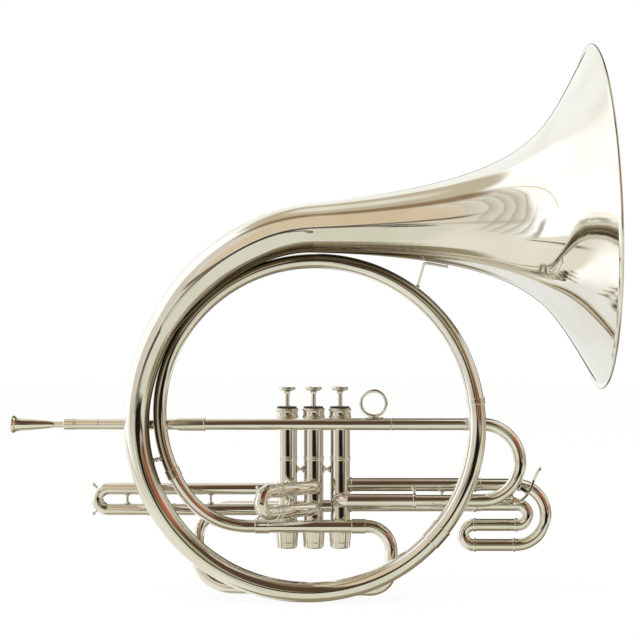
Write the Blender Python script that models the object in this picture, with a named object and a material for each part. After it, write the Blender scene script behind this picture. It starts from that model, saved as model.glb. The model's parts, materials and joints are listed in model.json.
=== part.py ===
"""Marching french horn: a coiled horn with three piston valves and a bell that faces forward.

Metres, +Z up. The origin lies on the axis of the middle valve, at the height where the hand holds
the casings. +X points out of the bell. -Y is the front, the side that the coil and the bell lie on.
"""
import math

import bmesh
import bpy
import numpy as np
from mathutils import Matrix, Vector

MM = 0.001
X_AXIS = np.array((1.0, 0.0, 0.0))
Y_AXIS = np.array((0.0, 1.0, 0.0))
Z_AXIS = np.array((0.0, 0.0, 1.0))

# Clearances
GAP = 0.3 * MM            # between two pieces that rest on or butt against each other
RUNNING = 0.35 * MM       # radial play of a slide leg or a piston

# How finely the round work is cut
TUBE_SIDES = 12
VALVE_SIDES = 12
BELL_SIDES = 28
BEND_STEP = math.radians(30)
COIL_STEP = 15.0

# Valves
VALVE_PITCH = 24.7 * MM
CASING_RADIUS = 9.25 * MM
CASING_WALL = 0.8 * MM
CASING_TOP = 62.0 * MM
CASING_BOTTOM = -61.0 * MM
CASING_BAND_Z = 18.7 * MM
CASING_BAND_HEIGHT = 3.4 * MM
CASING_BAND_PROUD = 0.5 * MM
TOP_CAP_RADIUS = 10.6 * MM
TOP_CAP_SKIRT = 5.9 * MM
TOP_CAP_ROOF = 3.1 * MM
BOTTOM_CAP_RADIUS = 10.25 * MM
BOTTOM_CAP_SKIRT = 8.0 * MM
BOTTOM_CAP_FLOOR = 4.2 * MM
FELT_RADIUS = 9.3 * MM
FELT_THICKNESS = 1.4 * MM
PISTON_BOTTOM = -46.0 * MM
PISTON_TOP = 12.5 * MM
BARREL_RADIUS = 7.3 * MM
BARREL_WALL = 1.1 * MM
STEM_RADIUS = 2.35 * MM
STEM_FLANGE = 1.6 * MM
BUTTON_RADIUS = 7.75 * MM
BUTTON_HEIGHT = 6.0 * MM
BUTTON_UNDERSIDE = 79.3 * MM
GUIDE_WIDTH = 3.2 * MM
GUIDE_HEIGHT = 2.2 * MM
SPRING_RADIUS = 5.2 * MM
SPRING_WIRE = 0.45 * MM
SPRING_CURLS = 6
STAY_RADIUS = 1.5 * MM
STAY_BITE = 0.35 * MM
CASING_STAY_Z = 8.4 * MM

# Heights of the windways on the casings
CROSSOVER_Z = -26.2 * MM
CROSSOVER_RADIUS = 5.5 * MM
INLET_Z = -19.5 * MM
EXIT_Z = -28.0 * MM

# Leadpipe, mouthpiece and main tuning slide
FRONT_Y = -17.0 * MM
LEADPIPE_Z = 51.2 * MM
LEADPIPE_START_RADIUS = 5.05 * MM
LEADPIPE_END_RADIUS = 5.45 * MM
LEADPIPE_WALL = 0.5 * MM
RECEIVER_START = -230.9 * MM
RECEIVER_LENGTH = 32.0 * MM
SHANK_INSERTION = 20.0 * MM
MOUTHPIECE_LENGTH = 49.0 * MM
MOUTHPIECE_RIM_RADIUS = 8.35 * MM
SHANK_RADIUS = 3.25 * MM
SLEEVE_START = -133.0 * MM
SLEEVE_LENGTH = 33.0 * MM
TUNING_OUTER_START = 72.0 * MM
TUNING_OUTER_END = 142.0 * MM
TUNING_INSERTION = 58.0 * MM
LOWER_LEG_INSERTION = 48.0 * MM
TUNING_BOW_RADIUS = 5.9 * MM
TUNING_BEND_X = 155.7 * MM
RETURN_TUBE_RADIUS = 6.2 * MM
RETURN_TUBE_WALL = 0.5 * MM
RETURN_TUBE_END = 95.0 * MM
RETURN_ELBOW_BEND = 7.5 * MM

# Slides of the valves: outside radius of the tubes, their heights, ends and insertions
SLIDE_WALL = 0.6 * MM
FIRST_RADIUS = 5.6 * MM
FIRST_TOP_Z = -9.9 * MM
FIRST_BOTTOM_Z = -29.2 * MM
FIRST_OUTER_END = -153.4 * MM
FIRST_BEND_X = -192.0 * MM
FIRST_INSERTION = 60.0 * MM
FIRST_STAY_X = -174.0 * MM
FIRST_FIXED_STAY_X = -96.0 * MM
SECOND_RADIUS = 6.3 * MM
SECOND_TOP_Z = -7.0 * MM
SECOND_BOTTOM_Z = -27.0 * MM
SECOND_SWING = math.radians(44.4)
SECOND_ELBOW_REACH = 8.0 * MM
SECOND_ELBOW_BEND = 9.0 * MM
SECOND_LEG = 45.0 * MM
SECOND_BOW_LEG = 12.0 * MM
SECOND_INSERTION = 30.0 * MM
THIRD_RADIUS = 6.15 * MM
THIRD_WRAP_RADIUS = 5.6 * MM
THIRD_TOP_Z = -6.2 * MM
THIRD_BOTTOM_Z = -25.0 * MM
THIRD_OUTER_END = 152.0 * MM
THIRD_INSERTION = 60.0 * MM
THIRD_SMALL_BEND_X = 190.5 * MM
THIRD_LEFT_BEND_X = 149.5 * MM
THIRD_FIXED_STAY_X = 120.0 * MM
INNER_WALL = 0.5 * MM

# Loop from the third branch of the valves to the coil
LOOP_RADIUS = 5.9 * MM
LOOP_WALL = 0.6 * MM
LOOP_REAR_Y = 13.0 * MM
LOOP_FALL_Y = 4.0 * MM
LOOP_LEFT_X = -108.8 * MM
LOOP_RIGHT_X = 72.0 * MM
LOOP_LEFT_TOP_BEND = 31.0 * MM
LOOP_LEFT_BOTTOM_BEND = 32.0 * MM
LOOP_RIGHT_BOTTOM_BEND = 20.0 * MM
LOOP_RIGHT_TOP_BEND = 23.0 * MM
LOOP_ELBOW_BEND = 8.0 * MM
BOTTOM_TUBE_Z = -43.2 * MM
BOTTOM_TUBE_RIGHT = 42.0 * MM
BOTTOM_TUBE_LEFT = -47.0 * MM

# Coil: a cone wound one and a half times round its centre
COIL_X = -6.7 * MM
COIL_Z = 51.3 * MM
COIL_RADIUS = 157.0 * MM
COIL_INNER_DROP = 27.1 * MM
COIL_INNER_START = -30.0
COIL_INNER_EASE = 1.35
COIL_START = -200.0
COIL_SWAY = 1.9 * MM
COIL_TAIL_START = 190.0
COIL_TAIL_RISE = 25.6 * MM
COIL_TAIL_SPAN = 80.0
COIL_TAIL_EASE = 1.72
COIL_END = 215.0
COIL_WALL = 0.7 * MM
COIL_DEPTH_TURNS = (-200.0, -180.0, -90.0, 0.0, 90.0, 180.0, 215.0)
COIL_DEPTHS = tuple(MM * depth for depth in (-27.5, -29.3, -30.0, -32.4, -34.9, -36.5, -39.8))
COIL_BORE_TURNS = (-200.0, -90.0, -8.0, 0.0, 40.0, 90.0, 180.0, 215.0)
COIL_TUBE_RADII = tuple(MM * radius for radius in (6.15, 6.75, 7.9, 8.2, 8.7, 9.3, 11.7, 13.1))
SECOND_BRANCH_END = -8.0
THIRD_BRANCH_END = 40.0

# Bell
BELL_RADIUS = 157.0 * MM
BELL_LENGTH = 258.0 * MM
BELL_Y = -40.0 * MM
BELL_TILT = math.radians(2.2)
BELL_START_X = 0.0
BELL_START_RISE = 180.6 * MM
BELL_WALL = 0.8 * MM
BELL_LAW_OFFSET = 36.0 * MM
BELL_LAW_POWER = 1.035
BELL_LAW_END = 51.0 * MM
BELL_LAW_RADIUS = 78.0 * MM
BELL_RIM_SLOPE = 1.8
BELL_STATIONS = 15
BEAD_WIDTH = 2.7 * MM
BEAD_DEPTH = 2.9 * MM
BEAD_FLAT = 1.6 * MM
TAIL_STEPS = 7
TAIL_EASE = 1.05
TAIL_HANDLES = (66.0 * MM, 50.0 * MM)
BRANCH_HANDLES = (33.0 * MM, 33.0 * MM)

# Small fittings
FERRULE_WALL = 0.7 * MM
FERRULE_LENGTH = 2.6 * MM
SLEEVE_WALL = 0.6 * MM
SLEEVE_JOINT = 13.0 * MM
TAIL_FERRULE = 17.5 * MM
NUB_RADIUS = 1.7 * MM
NUB_REACH = 5.2 * MM
PINKY_RING_X = 55.7 * MM
PINKY_RING_RADIUS = 11.6 * MM
PINKY_WIRE = 1.5 * MM
PINKY_FOOT = (19.0 * MM, 7.0 * MM, 3.2 * MM)
BELL_BRACE_WIRE = 1.2 * MM
BELL_BRACE_X = 101.3 * MM
BELL_BRACE_LENGTH = 22.0 * MM
BELL_BRACE_TURN = -50.0
BELL_BRACE_BEND = 3.0 * MM
LIMB_STAY_TURN = -193.0

# Water key on the bow of the main tuning slide, placed by angles round the bend
KEY_PIVOT_ANGLE = math.radians(-33.0)
KEY_PAD_ANGLE = math.radians(-49.0)
KEY_TIP_ANGLE = math.radians(-4.6)
KEY_PIVOT_REACH = 49.0 * MM
KEY_TIP_REACH = 55.3 * MM
KEY_SPOUT_HEIGHT = 3.2 * MM
KEY_SPOUT_RADIUS = 2.3 * MM
KEY_CORK_HEIGHT = 2.2 * MM
KEY_CORK_RADIUS = 3.0 * MM
KEY_LEVER_WIDTH = 6.0 * MM
KEY_LEVER_THICKNESS = 1.3 * MM
KEY_PIN_RADIUS = 0.8 * MM
KEY_CHEEK = 1.2 * MM
KEY_COIL_RADIUS = 1.75 * MM
KEY_COIL_WIRE = 0.3 * MM
KEY_COIL_CURLS = 2
KEY_LUG = 0.9 * MM

# Values that follow from those above
CASING_BORE = CASING_RADIUS - CASING_WALL
VALVE_X = tuple(VALVE_PITCH * place for place in (-1, 0, 1))
TOP_CAP_TOP = CASING_TOP + GAP + TOP_CAP_ROOF
VALVE_STROKE = BUTTON_UNDERSIDE - TOP_CAP_TOP - FELT_THICKNESS - 2 * GAP
BARREL_TOP = CASING_TOP - 2 * GAP - STEM_FLANGE
GUIDE_Z = PISTON_TOP + 1.0 * MM + GAP
TUNING_BEND_RADIUS = (LEADPIPE_Z - INLET_Z) / 2
TUNING_BEND_Z = (LEADPIPE_Z + INLET_Z) / 2
SECOND_WAY = np.array((-math.sin(SECOND_SWING), -math.cos(SECOND_SWING), 0.0))
LOOP_BOTTOM_Z = COIL_Z - COIL_RADIUS + 3.7 * MM
RECEIVER_END = RECEIVER_START + RECEIVER_LENGTH

FINISHES = {
    "nickel_plate": ((0.78, 0.76, 0.71), 0.12, 1.0),
    "bare_brass": ((0.70, 0.52, 0.25), 0.30, 1.0),
    "monel": ((0.60, 0.58, 0.54), 0.22, 1.0),
    "spring_steel": ((0.50, 0.50, 0.50), 0.30, 1.0),
    "felt": ((0.05, 0.05, 0.05), 0.95, 0.0),
    "cork": ((0.45, 0.30, 0.17), 0.85, 0.0),
}


def clear_scene():
    """Remove whatever the scene holds."""
    for obj in list(bpy.data.objects):
        bpy.data.objects.remove(obj, do_unlink=True)


def finish_material(name, finish):
    """A Principled material of its own for one piece."""
    color, roughness, metallic = FINISHES[finish]
    material = bpy.data.materials.new(name)
    material.use_nodes = True
    shader = material.node_tree.nodes["Principled BSDF"]
    shader.inputs["Base Color"].default_value = (*color, 1.0)
    shader.inputs["Roughness"].default_value = roughness
    shader.inputs["Metallic"].default_value = metallic
    return material


def add_empty(name, place):
    """A carrier that stands on the axis of a moving body."""
    empty = bpy.data.objects.new(name, None)
    empty.location = place
    bpy.context.scene.collection.objects.link(empty)
    return empty


def add_piece(name, bm, finish="nickel_plate", carrier=None):
    """Turn a mesh under construction into a named object, hung on its carrier if it has one."""
    home = carrier.location.copy() if carrier else Vector()
    bmesh.ops.remove_doubles(bm, verts=bm.verts, dist=1e-7)
    bmesh.ops.recalc_face_normals(bm, faces=bm.faces)
    bmesh.ops.translate(bm, verts=bm.verts, vec=-home)
    mesh = bpy.data.meshes.new(name)
    bm.to_mesh(mesh)
    bm.free()
    mesh.shade_smooth()
    mesh.set_sharp_from_angle(angle=math.radians(40))
    mesh.materials.append(finish_material(name, finish))
    obj = bpy.data.objects.new(name, mesh)
    bpy.context.scene.collection.objects.link(obj)
    obj.parent = carrier
    return obj


def add_cutter(name, bm):
    """A hidden shape that cuts or joins another piece."""
    cutter = add_piece(name, bm)
    cutter.hide_render = True
    cutter.display_type = "WIRE"
    return cutter


def combine(obj, tool, operation="DIFFERENCE"):
    """Cut a hidden shape out of a piece, or join it on."""
    modifier = obj.modifiers.new(tool.name, "BOOLEAN")
    modifier.operation = operation
    modifier.solver = "EXACT"
    modifier.object = tool
    if obj.parent:
        tool.parent = obj.parent
        tool.location = -obj.parent.location


def unit(vector):
    """The direction of a vector."""
    return np.asarray(vector, float) / np.linalg.norm(vector)


def straight(start, end):
    """A straight run as points and directions."""
    way = unit(np.subtract(end, start))
    return np.array((start, end), float), np.array((way, way))


def routed(corners, bends):
    """Straight runs joined by round bends, with one bend radius for each inner corner."""
    corners = [np.asarray(corner, float) for corner in corners]
    points = [corners[0]]
    ways = [unit(corners[1] - corners[0])]
    for before, corner, after, bend in zip(corners, corners[1:], corners[2:], bends):
        way_in = unit(corner - before)
        way_out = unit(after - corner)
        turn = math.acos(float(np.clip(way_in @ way_out, -1.0, 1.0)))
        inward = np.cross(unit(np.cross(way_in, way_out)), way_in)
        centre = corner - way_in * bend * math.tan(turn / 2) + inward * bend
        steps = max(2, math.ceil(turn / BEND_STEP))
        for angle in np.linspace(0.0, turn, steps + 1):
            points.append(centre + bend * (way_in * math.sin(angle) - inward * math.cos(angle)))
            ways.append(way_in * math.cos(angle) + inward * math.sin(angle))
    points.append(corners[-1])
    ways.append(unit(corners[-1] - corners[-2]))
    kept = [0] + [i for i in range(1, len(points)) if np.linalg.norm(points[i] - points[i - 1]) > 1e-6]
    return np.array(points)[kept], np.array(ways)[kept]


def eased(start, start_way, end, end_way, handles, steps):
    """A cubic curve that leaves one point along its direction and meets the next along that one's."""
    start, end = np.asarray(start, float), np.asarray(end, float)
    pull_out = start + handles[0] * np.asarray(start_way)
    pull_in = end - handles[1] * np.asarray(end_way)
    s = np.linspace(0.0, 1.0, steps + 1)[:, None]
    points = ((1 - s) ** 3 * start + 3 * s * (1 - s) ** 2 * pull_out
              + 3 * s ** 2 * (1 - s) * pull_in + s ** 3 * end)
    slopes = ((1 - s) ** 2 * (pull_out - start) + 2 * s * (1 - s) * (pull_in - pull_out)
              + s ** 2 * (end - pull_in))
    return points, slopes / np.linalg.norm(slopes, axis=1)[:, None]


def add_tube(bm, path, radii, bores=None, sides=TUBE_SIDES, up=Y_AXIS, carried=False):
    """Lay rings along a path and skin them; bores gives the windway, and None a solid bar."""
    points, ways = path
    radii = np.broadcast_to(radii, len(points))
    angles = 2 * math.pi * np.arange(sides) / sides
    skins = []
    for reach in (radii,) if bores is None else (radii, np.broadcast_to(bores, len(points))):
        side = np.asarray(up, float)
        rings = []
        for point, way, radius in zip(points, ways, reach):
            across = unit(side - (side @ way) * way)
            over = np.cross(way, across)
            side = across if carried else side
            ring = [point + radius * (math.cos(a) * across + math.sin(a) * over) for a in angles]
            rings.append([bm.verts.new(vertex) for vertex in ring])
        skins.append(rings)
    for rings in skins:
        for near, far in zip(rings, rings[1:]):
            add_band(bm, near, far)
    for end in (0, -1):
        if bores is None:
            bm.faces.new(skins[0][end])
        else:
            add_band(bm, skins[0][end], skins[1][end])


def add_band(bm, near, far):
    """Quads between two rings of the same count."""
    count = len(near)
    for i in range(count):
        j = (i + 1) % count
        bm.faces.new((near[i], near[j], far[j], far[i]))


def place_along(point, way, up=Z_AXIS):
    """A frame whose Z runs along a direction, for turned pieces."""
    way = unit(way)
    across = unit(np.asarray(up, float) - (np.asarray(up) @ way) * way)
    over = np.cross(way, across)
    frame = Matrix((across, over, way)).transposed().to_4x4()
    frame.translation = Vector(point)
    return frame


def add_turned(bm, profile, frame, sides=VALVE_SIDES, closed=False):
    """Spin a profile of (radius, height) points; a closed one gives a ring, an open one ends on the axis."""
    rings = []
    for radius, height in profile:
        if radius < 1e-9:
            rings.append([bm.verts.new(frame @ Vector((0.0, 0.0, height)))])
            continue
        ring = []
        for i in range(sides):
            angle = 2 * math.pi * i / sides
            spot = Vector((radius * math.cos(angle), radius * math.sin(angle), height))
            ring.append(bm.verts.new(frame @ spot))
        rings.append(ring)
    pairs = list(zip(rings, rings[1:]))
    if closed:
        pairs.append((rings[-1], rings[0]))
    for near, far in pairs:
        if len(near) == 1 or len(far) == 1:
            tip, ring = (near[0], far) if len(near) == 1 else (far[0], near)
            for i in range(sides):
                bm.faces.new((tip, ring[i], ring[(i + 1) % sides]))
        else:
            add_band(bm, near, far)


def add_box(bm, centre, size, frame=None):
    """A rectangular block, in a turned frame if one is given."""
    block = Matrix.Translation(Vector(centre)) @ Matrix.Diagonal((*size, 1.0))
    bmesh.ops.create_cube(bm, size=1.0, matrix=(frame or Matrix()) @ block)


def cylinder_tool(name, start, way, radius, length, sides=TUBE_SIDES, up=Y_AXIS):
    """A hidden cylinder, for a port or a saddle."""
    bm = bmesh.new()
    add_tube(bm, straight(start, np.asarray(start) + np.asarray(way) * length), radius, sides=sides, up=up)
    return add_cutter(name, bm)


def add_stay(bm, start, end, start_seat, end_seat, ball=0.0):
    """A turned stay from seat to seat along the line between two centres, waisted or with a ball."""
    start, end = np.asarray(start, float), np.asarray(end, float)
    low = start_seat
    high = np.linalg.norm(end - start) - end_seat
    foot = min(1.0 * MM, (high - low) / 5)
    middle = (low + high) / 2
    waist = STAY_RADIUS * 0.6
    profile = [(0.0, low), (STAY_RADIUS, low), (waist, low + foot)]
    if ball:
        profile += [(waist, middle - ball), (ball, middle), (waist, middle + ball)]
    profile += [(waist, high - foot), (STAY_RADIUS, high), (0.0, high)]
    add_turned(bm, profile, place_along(start, end - start, Y_AXIS), sides=8)


def joined(*runs):
    """Runs of (path, outside radius, bore) laid end to end, with a square step where the radius changes."""
    points = np.concatenate([path[0] for path, _, _ in runs])
    ways = np.concatenate([path[1] for path, _, _ in runs])
    radii = np.concatenate([np.broadcast_to(radius, len(path[0])) for path, radius, _ in runs])
    bores = np.concatenate([np.broadcast_to(bore, len(path[0])) for path, _, bore in runs])
    return (points, ways), radii, bores


def along(*places, y=0.0, z=0.0):
    """A straight path parallel to X through the given places."""
    return straight((places[0], y, z), (places[1], y, z))


def coil_tube_radius(turn):
    """Outside radius of the coiled cone at a turn in degrees."""
    return np.interp(turn, COIL_BORE_TURNS, COIL_TUBE_RADII)


def coil_distance(turn):
    """Distance of the coil's centre line from the coil's centre.

    The inner turn opens out to the full radius by an eased power, the outer turn sways a little
    like a cosine, and the tail rises away towards the bell.
    """
    if turn < COIL_INNER_START:
        share = (COIL_INNER_START - turn) / (COIL_INNER_START - COIL_START)
        return COIL_RADIUS - COIL_INNER_DROP * share ** COIL_INNER_EASE
    if turn < 0.0:
        return COIL_RADIUS
    settled = min(turn, COIL_TAIL_START)
    sway = COIL_SWAY * (math.cos(math.radians(1.5 * settled)) - 1)
    rise = (turn - settled) / COIL_TAIL_SPAN
    return COIL_RADIUS + sway + COIL_TAIL_RISE * rise ** COIL_TAIL_EASE


def coil_point(turn):
    """A point of the coil's centre line; the turn grows clockwise from the right-hand limb."""
    angle = math.radians(-turn)
    distance = coil_distance(turn)
    near = np.interp(turn + np.linspace(-15.0, 15.0, 7), COIL_DEPTH_TURNS, COIL_DEPTHS)
    return np.array((COIL_X + distance * math.cos(angle), near.mean(), COIL_Z + distance * math.sin(angle)))


def coil_path(start, end):
    """The coil's centre line between two turns, with its directions."""
    steps = max(1, math.ceil((end - start) / COIL_STEP))
    turns = np.linspace(start, end, steps + 1)
    points = np.array([coil_point(turn) for turn in turns])
    ways = np.array([unit(coil_point(turn + 0.2) - coil_point(turn - 0.2)) for turn in turns])
    return points, ways, turns


def coil_chord_point(turn, start, end):
    """The same point on the straight pieces that a tube between two turns is made of."""
    points, _, turns = coil_path(start, end)
    return np.array([np.interp(turn, turns, points[:, axis]) for axis in range(3)])


def trimmed(path, start=0.0, end=0.0):
    """The same path with its first or last point drawn back along its direction."""
    points, ways = path[0].copy(), path[1]
    points[0] = points[0] + ways[0] * start
    points[-1] = points[-1] - ways[-1] * end
    return points, ways


def flare_radius(depth):
    """Outside radius of the bell at a depth behind its rim.

    Deep inside it follows a horn law, a constant over a power of the depth. Near the rim a cubic
    turns it outwards to the rim's own slope.
    """
    scale = BELL_LAW_RADIUS * (BELL_LAW_END + BELL_LAW_OFFSET) ** BELL_LAW_POWER
    if depth >= BELL_LAW_END:
        return scale / (depth + BELL_LAW_OFFSET) ** BELL_LAW_POWER
    slope = BELL_LAW_POWER * BELL_LAW_RADIUS / (BELL_LAW_END + BELL_LAW_OFFSET)
    s = 1 - depth / BELL_LAW_END
    return ((1 - 3 * s ** 2 + 2 * s ** 3) * BELL_LAW_RADIUS
            + s * (1 - s) ** 2 * slope * BELL_LAW_END
            + (3 * s ** 2 - 2 * s ** 3) * BELL_RADIUS
            + s ** 2 * (s - 1) * BELL_RIM_SLOPE * BELL_LAW_END)


def bell_axis():
    """The start and the direction of the bell's axis."""
    way = np.array((math.cos(BELL_TILT), 0.0, math.sin(BELL_TILT)))
    return np.array((BELL_START_X, BELL_Y, COIL_Z + BELL_START_RISE + COIL_RADIUS - 157.0 * MM)), way


def valve_ports():
    """For each valve, the direction, height and bore of the windways through its casing."""
    first_bore = FIRST_RADIUS - SLIDE_WALL
    second_bore = SECOND_RADIUS - SLIDE_WALL
    third_bore = THIRD_RADIUS - SLIDE_WALL
    cross_bore = CROSSOVER_RADIUS - SLIDE_WALL
    left, right, front, rear = -X_AXIS, X_AXIS, -Y_AXIS, Y_AXIS
    return (
        ((right, CROSSOVER_Z, cross_bore), (rear, EXIT_Z, LOOP_RADIUS - LOOP_WALL),
         (left, FIRST_TOP_Z, first_bore), (left, FIRST_BOTTOM_Z, first_bore)),
        ((right, CROSSOVER_Z, cross_bore), (left, CROSSOVER_Z, cross_bore),
         (front, SECOND_TOP_Z, second_bore), (front, SECOND_BOTTOM_Z, second_bore)),
        ((front, INLET_Z, RETURN_TUBE_RADIUS - RETURN_TUBE_WALL), (left, CROSSOVER_Z, cross_bore),
         (right, THIRD_TOP_Z, third_bore), (right, THIRD_BOTTOM_Z, third_bore)),
    )


def make_casing(number, x):
    """Valve casing: a bored tube with a joint band, and a port for each windway."""
    low = CASING_BAND_Z - CASING_BAND_HEIGHT / 2
    high = CASING_BAND_Z + CASING_BAND_HEIGHT / 2
    proud = CASING_RADIUS + CASING_BAND_PROUD
    profile = [(CASING_BORE, CASING_BOTTOM), (CASING_RADIUS, CASING_BOTTOM), (CASING_RADIUS, low),
               (proud, low), (proud, high), (CASING_RADIUS, high), (CASING_RADIUS, CASING_TOP),
               (CASING_BORE, CASING_TOP)]
    bm = bmesh.new()
    add_turned(bm, profile, Matrix.Translation((x, 0, 0)), closed=True)
    casing = add_piece(f"valve_casing_{number}", bm)
    for i, (way, height, bore) in enumerate(valve_ports()[number - 1]):
        start = np.array((x, 0.0, height)) + way * CASING_BORE / 2
        combine(casing, cylinder_tool(f"port_tool_{number}_{i}", start, way, bore, CASING_RADIUS, up=Z_AXIS))


def make_caps(number, x):
    """Screwed top cap with its stem hole, and bottom cap with a rounded floor."""
    place = Matrix.Translation((x, 0, 0))
    inner = CASING_RADIUS + GAP
    roof = CASING_TOP + GAP
    hole = STEM_RADIUS + RUNNING
    chamfer = 1.2 * MM
    skirt = CASING_TOP - TOP_CAP_SKIRT
    bm = bmesh.new()
    add_turned(bm, [(inner, skirt), (TOP_CAP_RADIUS - 0.5 * MM, skirt), (TOP_CAP_RADIUS, skirt + 0.5 * MM),
                    (TOP_CAP_RADIUS, TOP_CAP_TOP - chamfer), (TOP_CAP_RADIUS - chamfer, TOP_CAP_TOP),
                    (hole, TOP_CAP_TOP), (hole, roof), (inner, roof)], place, closed=True)
    add_piece(f"valve_top_cap_{number}", bm)
    floor = CASING_BOTTOM - GAP
    skirt = CASING_BOTTOM + BOTTOM_CAP_SKIRT
    low = floor - BOTTOM_CAP_FLOOR
    bm = bmesh.new()
    add_turned(bm, bottom_cap_profile(inner, skirt, floor, low), place)
    add_piece(f"valve_bottom_cap_{number}", bm)


def bottom_cap_profile(inner, skirt, floor, low):
    """Outline of the bottom cap, from the middle of its floor round to the middle of its underside."""
    return [(0.0, floor), (inner, floor), (inner, skirt), (BOTTOM_CAP_RADIUS, skirt),
            (BOTTOM_CAP_RADIUS, low + 2.6 * MM), (BOTTOM_CAP_RADIUS - 1.0 * MM, low + 1.0 * MM),
            (BOTTOM_CAP_RADIUS - 3.2 * MM, low), (0.0, low)]


def make_piston(number, x, carrier):
    """Piston with its open windway, the windows of the pressed position and the slotted spring barrel."""
    place = Matrix.Translation((x, 0, 0))
    radius = CASING_BORE - RUNNING
    cavity = BARREL_RADIUS - BARREL_WALL
    cavity_floor = PISTON_TOP + 1.0 * MM
    bm = bmesh.new()
    add_turned(bm, [(0.0, PISTON_BOTTOM), (radius, PISTON_BOTTOM), (radius, PISTON_TOP),
                    (BARREL_RADIUS, PISTON_TOP), (BARREL_RADIUS, BARREL_TOP), (cavity, BARREL_TOP),
                    (cavity, cavity_floor), (0.0, cavity_floor)], place)
    piston = add_piece(f"valve_piston_{number}", bm, "monel", carrier)
    for i, (way, height, bore) in enumerate(valve_ports()[number - 1]):
        port = bore - 0.5 * MM
        if i < 2:
            start = np.array((x, 0.0, height)) - way * port * 0.5
            tool = cylinder_tool(f"way_tool_{number}_{i}", start, way, port, 2 * radius, up=Z_AXIS)
            combine(piston, tool)
        start = np.array((x, 0.0, height + VALVE_STROKE)) + way * (radius - 2.5 * MM)
        tool = cylinder_tool(f"window_tool_{number}_{i}", start, way, port * 0.75, radius, up=Z_AXIS)
        combine(piston, tool)
    bm = bmesh.new()
    slot_low = GUIDE_Z - GAP * 0.8
    slot_high = GUIDE_Z + GUIDE_HEIGHT + VALVE_STROKE + 1.0 * MM
    add_box(bm, (x, 0, (slot_low + slot_high) / 2),
            (4 * radius, GUIDE_WIDTH + 2 * GAP, slot_high - slot_low))
    combine(piston, add_cutter(f"slot_tool_{number}", bm))


def make_stem_and_button(number, x, carrier):
    """Stem with the flange that closes the barrel, and the dished finger button on top."""
    place = Matrix.Translation((x, 0, 0))
    low = BARREL_TOP + GAP
    bm = bmesh.new()
    add_turned(bm, [(0.0, low), (BARREL_RADIUS, low), (BARREL_RADIUS, low + STEM_FLANGE),
                    (STEM_RADIUS, low + STEM_FLANGE), (STEM_RADIUS, BUTTON_UNDERSIDE - GAP),
                    (0.0, BUTTON_UNDERSIDE - GAP)], place, sides=12)
    add_piece(f"valve_stem_{number}", bm, "nickel_plate", carrier)
    low = BUTTON_UNDERSIDE
    high = low + BUTTON_HEIGHT
    bm = bmesh.new()
    add_turned(bm, [(0.0, low), (3.6 * MM, low), (4.2 * MM, low + 2.2 * MM),
                    (BUTTON_RADIUS - 0.5 * MM, low + 2.6 * MM), (BUTTON_RADIUS, low + 3.2 * MM),
                    (BUTTON_RADIUS, high - 0.7 * MM), (BUTTON_RADIUS - 0.8 * MM, high),
                    (BUTTON_RADIUS - 1.8 * MM, high - 0.1 * MM), (0.0, high - 1.0 * MM)], place)
    add_piece(f"valve_button_{number}", bm, "nickel_plate", carrier)


def make_valve_spring(number, x):
    """Compression spring between the guide bar and the flange of the stem."""
    low = GUIDE_Z + GUIDE_HEIGHT + GAP + SPRING_WIRE
    high = BARREL_TOP - SPRING_WIRE
    steps = SPRING_CURLS * 7
    turns = np.linspace(0.0, SPRING_CURLS, steps + 1)
    angles = 2 * math.pi * turns
    heights = np.interp(turns, (0, 1, SPRING_CURLS - 1, SPRING_CURLS),
                        (low, low + 3 * SPRING_WIRE, high - 3 * SPRING_WIRE, high))
    points = np.stack((x + SPRING_RADIUS * np.cos(angles), SPRING_RADIUS * np.sin(angles), heights), axis=1)
    slopes = np.gradient(points, axis=0)
    bm = bmesh.new()
    add_tube(bm, (points, slopes / np.linalg.norm(slopes, axis=1)[:, None]), SPRING_WIRE, sides=4, up=Z_AXIS)
    add_piece(f"valve_spring_{number}", bm, "spring_steel")


def make_valve_trim(number, x):
    """Guide bar across the casing through the barrel's slots, and the felt on the top cap."""
    reach = (CASING_BORE - GAP) * math.cos(math.pi / VALVE_SIDES)
    corner = math.sqrt(reach ** 2 - (GUIDE_WIDTH / 2) ** 2)
    bm = bmesh.new()
    add_box(bm, (x, 0, GUIDE_Z + GUIDE_HEIGHT / 2), (2 * corner, GUIDE_WIDTH, GUIDE_HEIGHT))
    add_piece(f"valve_guide_{number}", bm, "bare_brass")
    low = TOP_CAP_TOP + GAP
    hole = STEM_RADIUS + RUNNING
    bm = bmesh.new()
    add_turned(bm, [(hole, low), (FELT_RADIUS, low), (FELT_RADIUS, low + FELT_THICKNESS),
                    (hole, low + FELT_THICKNESS)], Matrix.Translation((x, 0, 0)), sides=12, closed=True)
    add_piece(f"valve_felt_{number}", bm, "felt")


def make_block():
    """Crossover tubes that carry the windway from valve to valve, and the stays between the casings."""
    for number, (left, right) in enumerate(zip(VALVE_X, VALVE_X[1:]), start=1):
        bm = bmesh.new()
        add_tube(bm, along(left + CASING_BORE / 2, right - CASING_BORE / 2, z=CROSSOVER_Z),
                 CROSSOVER_RADIUS, CROSSOVER_RADIUS - SLIDE_WALL, up=Z_AXIS)
        saddle(add_piece(f"valve_crossover_{number}", bm), (left, right))
        bm = bmesh.new()
        seat = CASING_RADIUS + GAP
        add_stay(bm, (left, 0, CASING_STAY_Z), (right, 0, CASING_STAY_Z), seat, seat)
        add_piece(f"valve_stay_{number}", bm)


def fuse_stay(obj, name, start, end, start_seat, end_seat):
    """Braze a stay onto a piece."""
    bm = bmesh.new()
    add_stay(bm, start, end, start_seat, end_seat)
    combine(obj, add_cutter(name, bm), "UNION")


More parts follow.
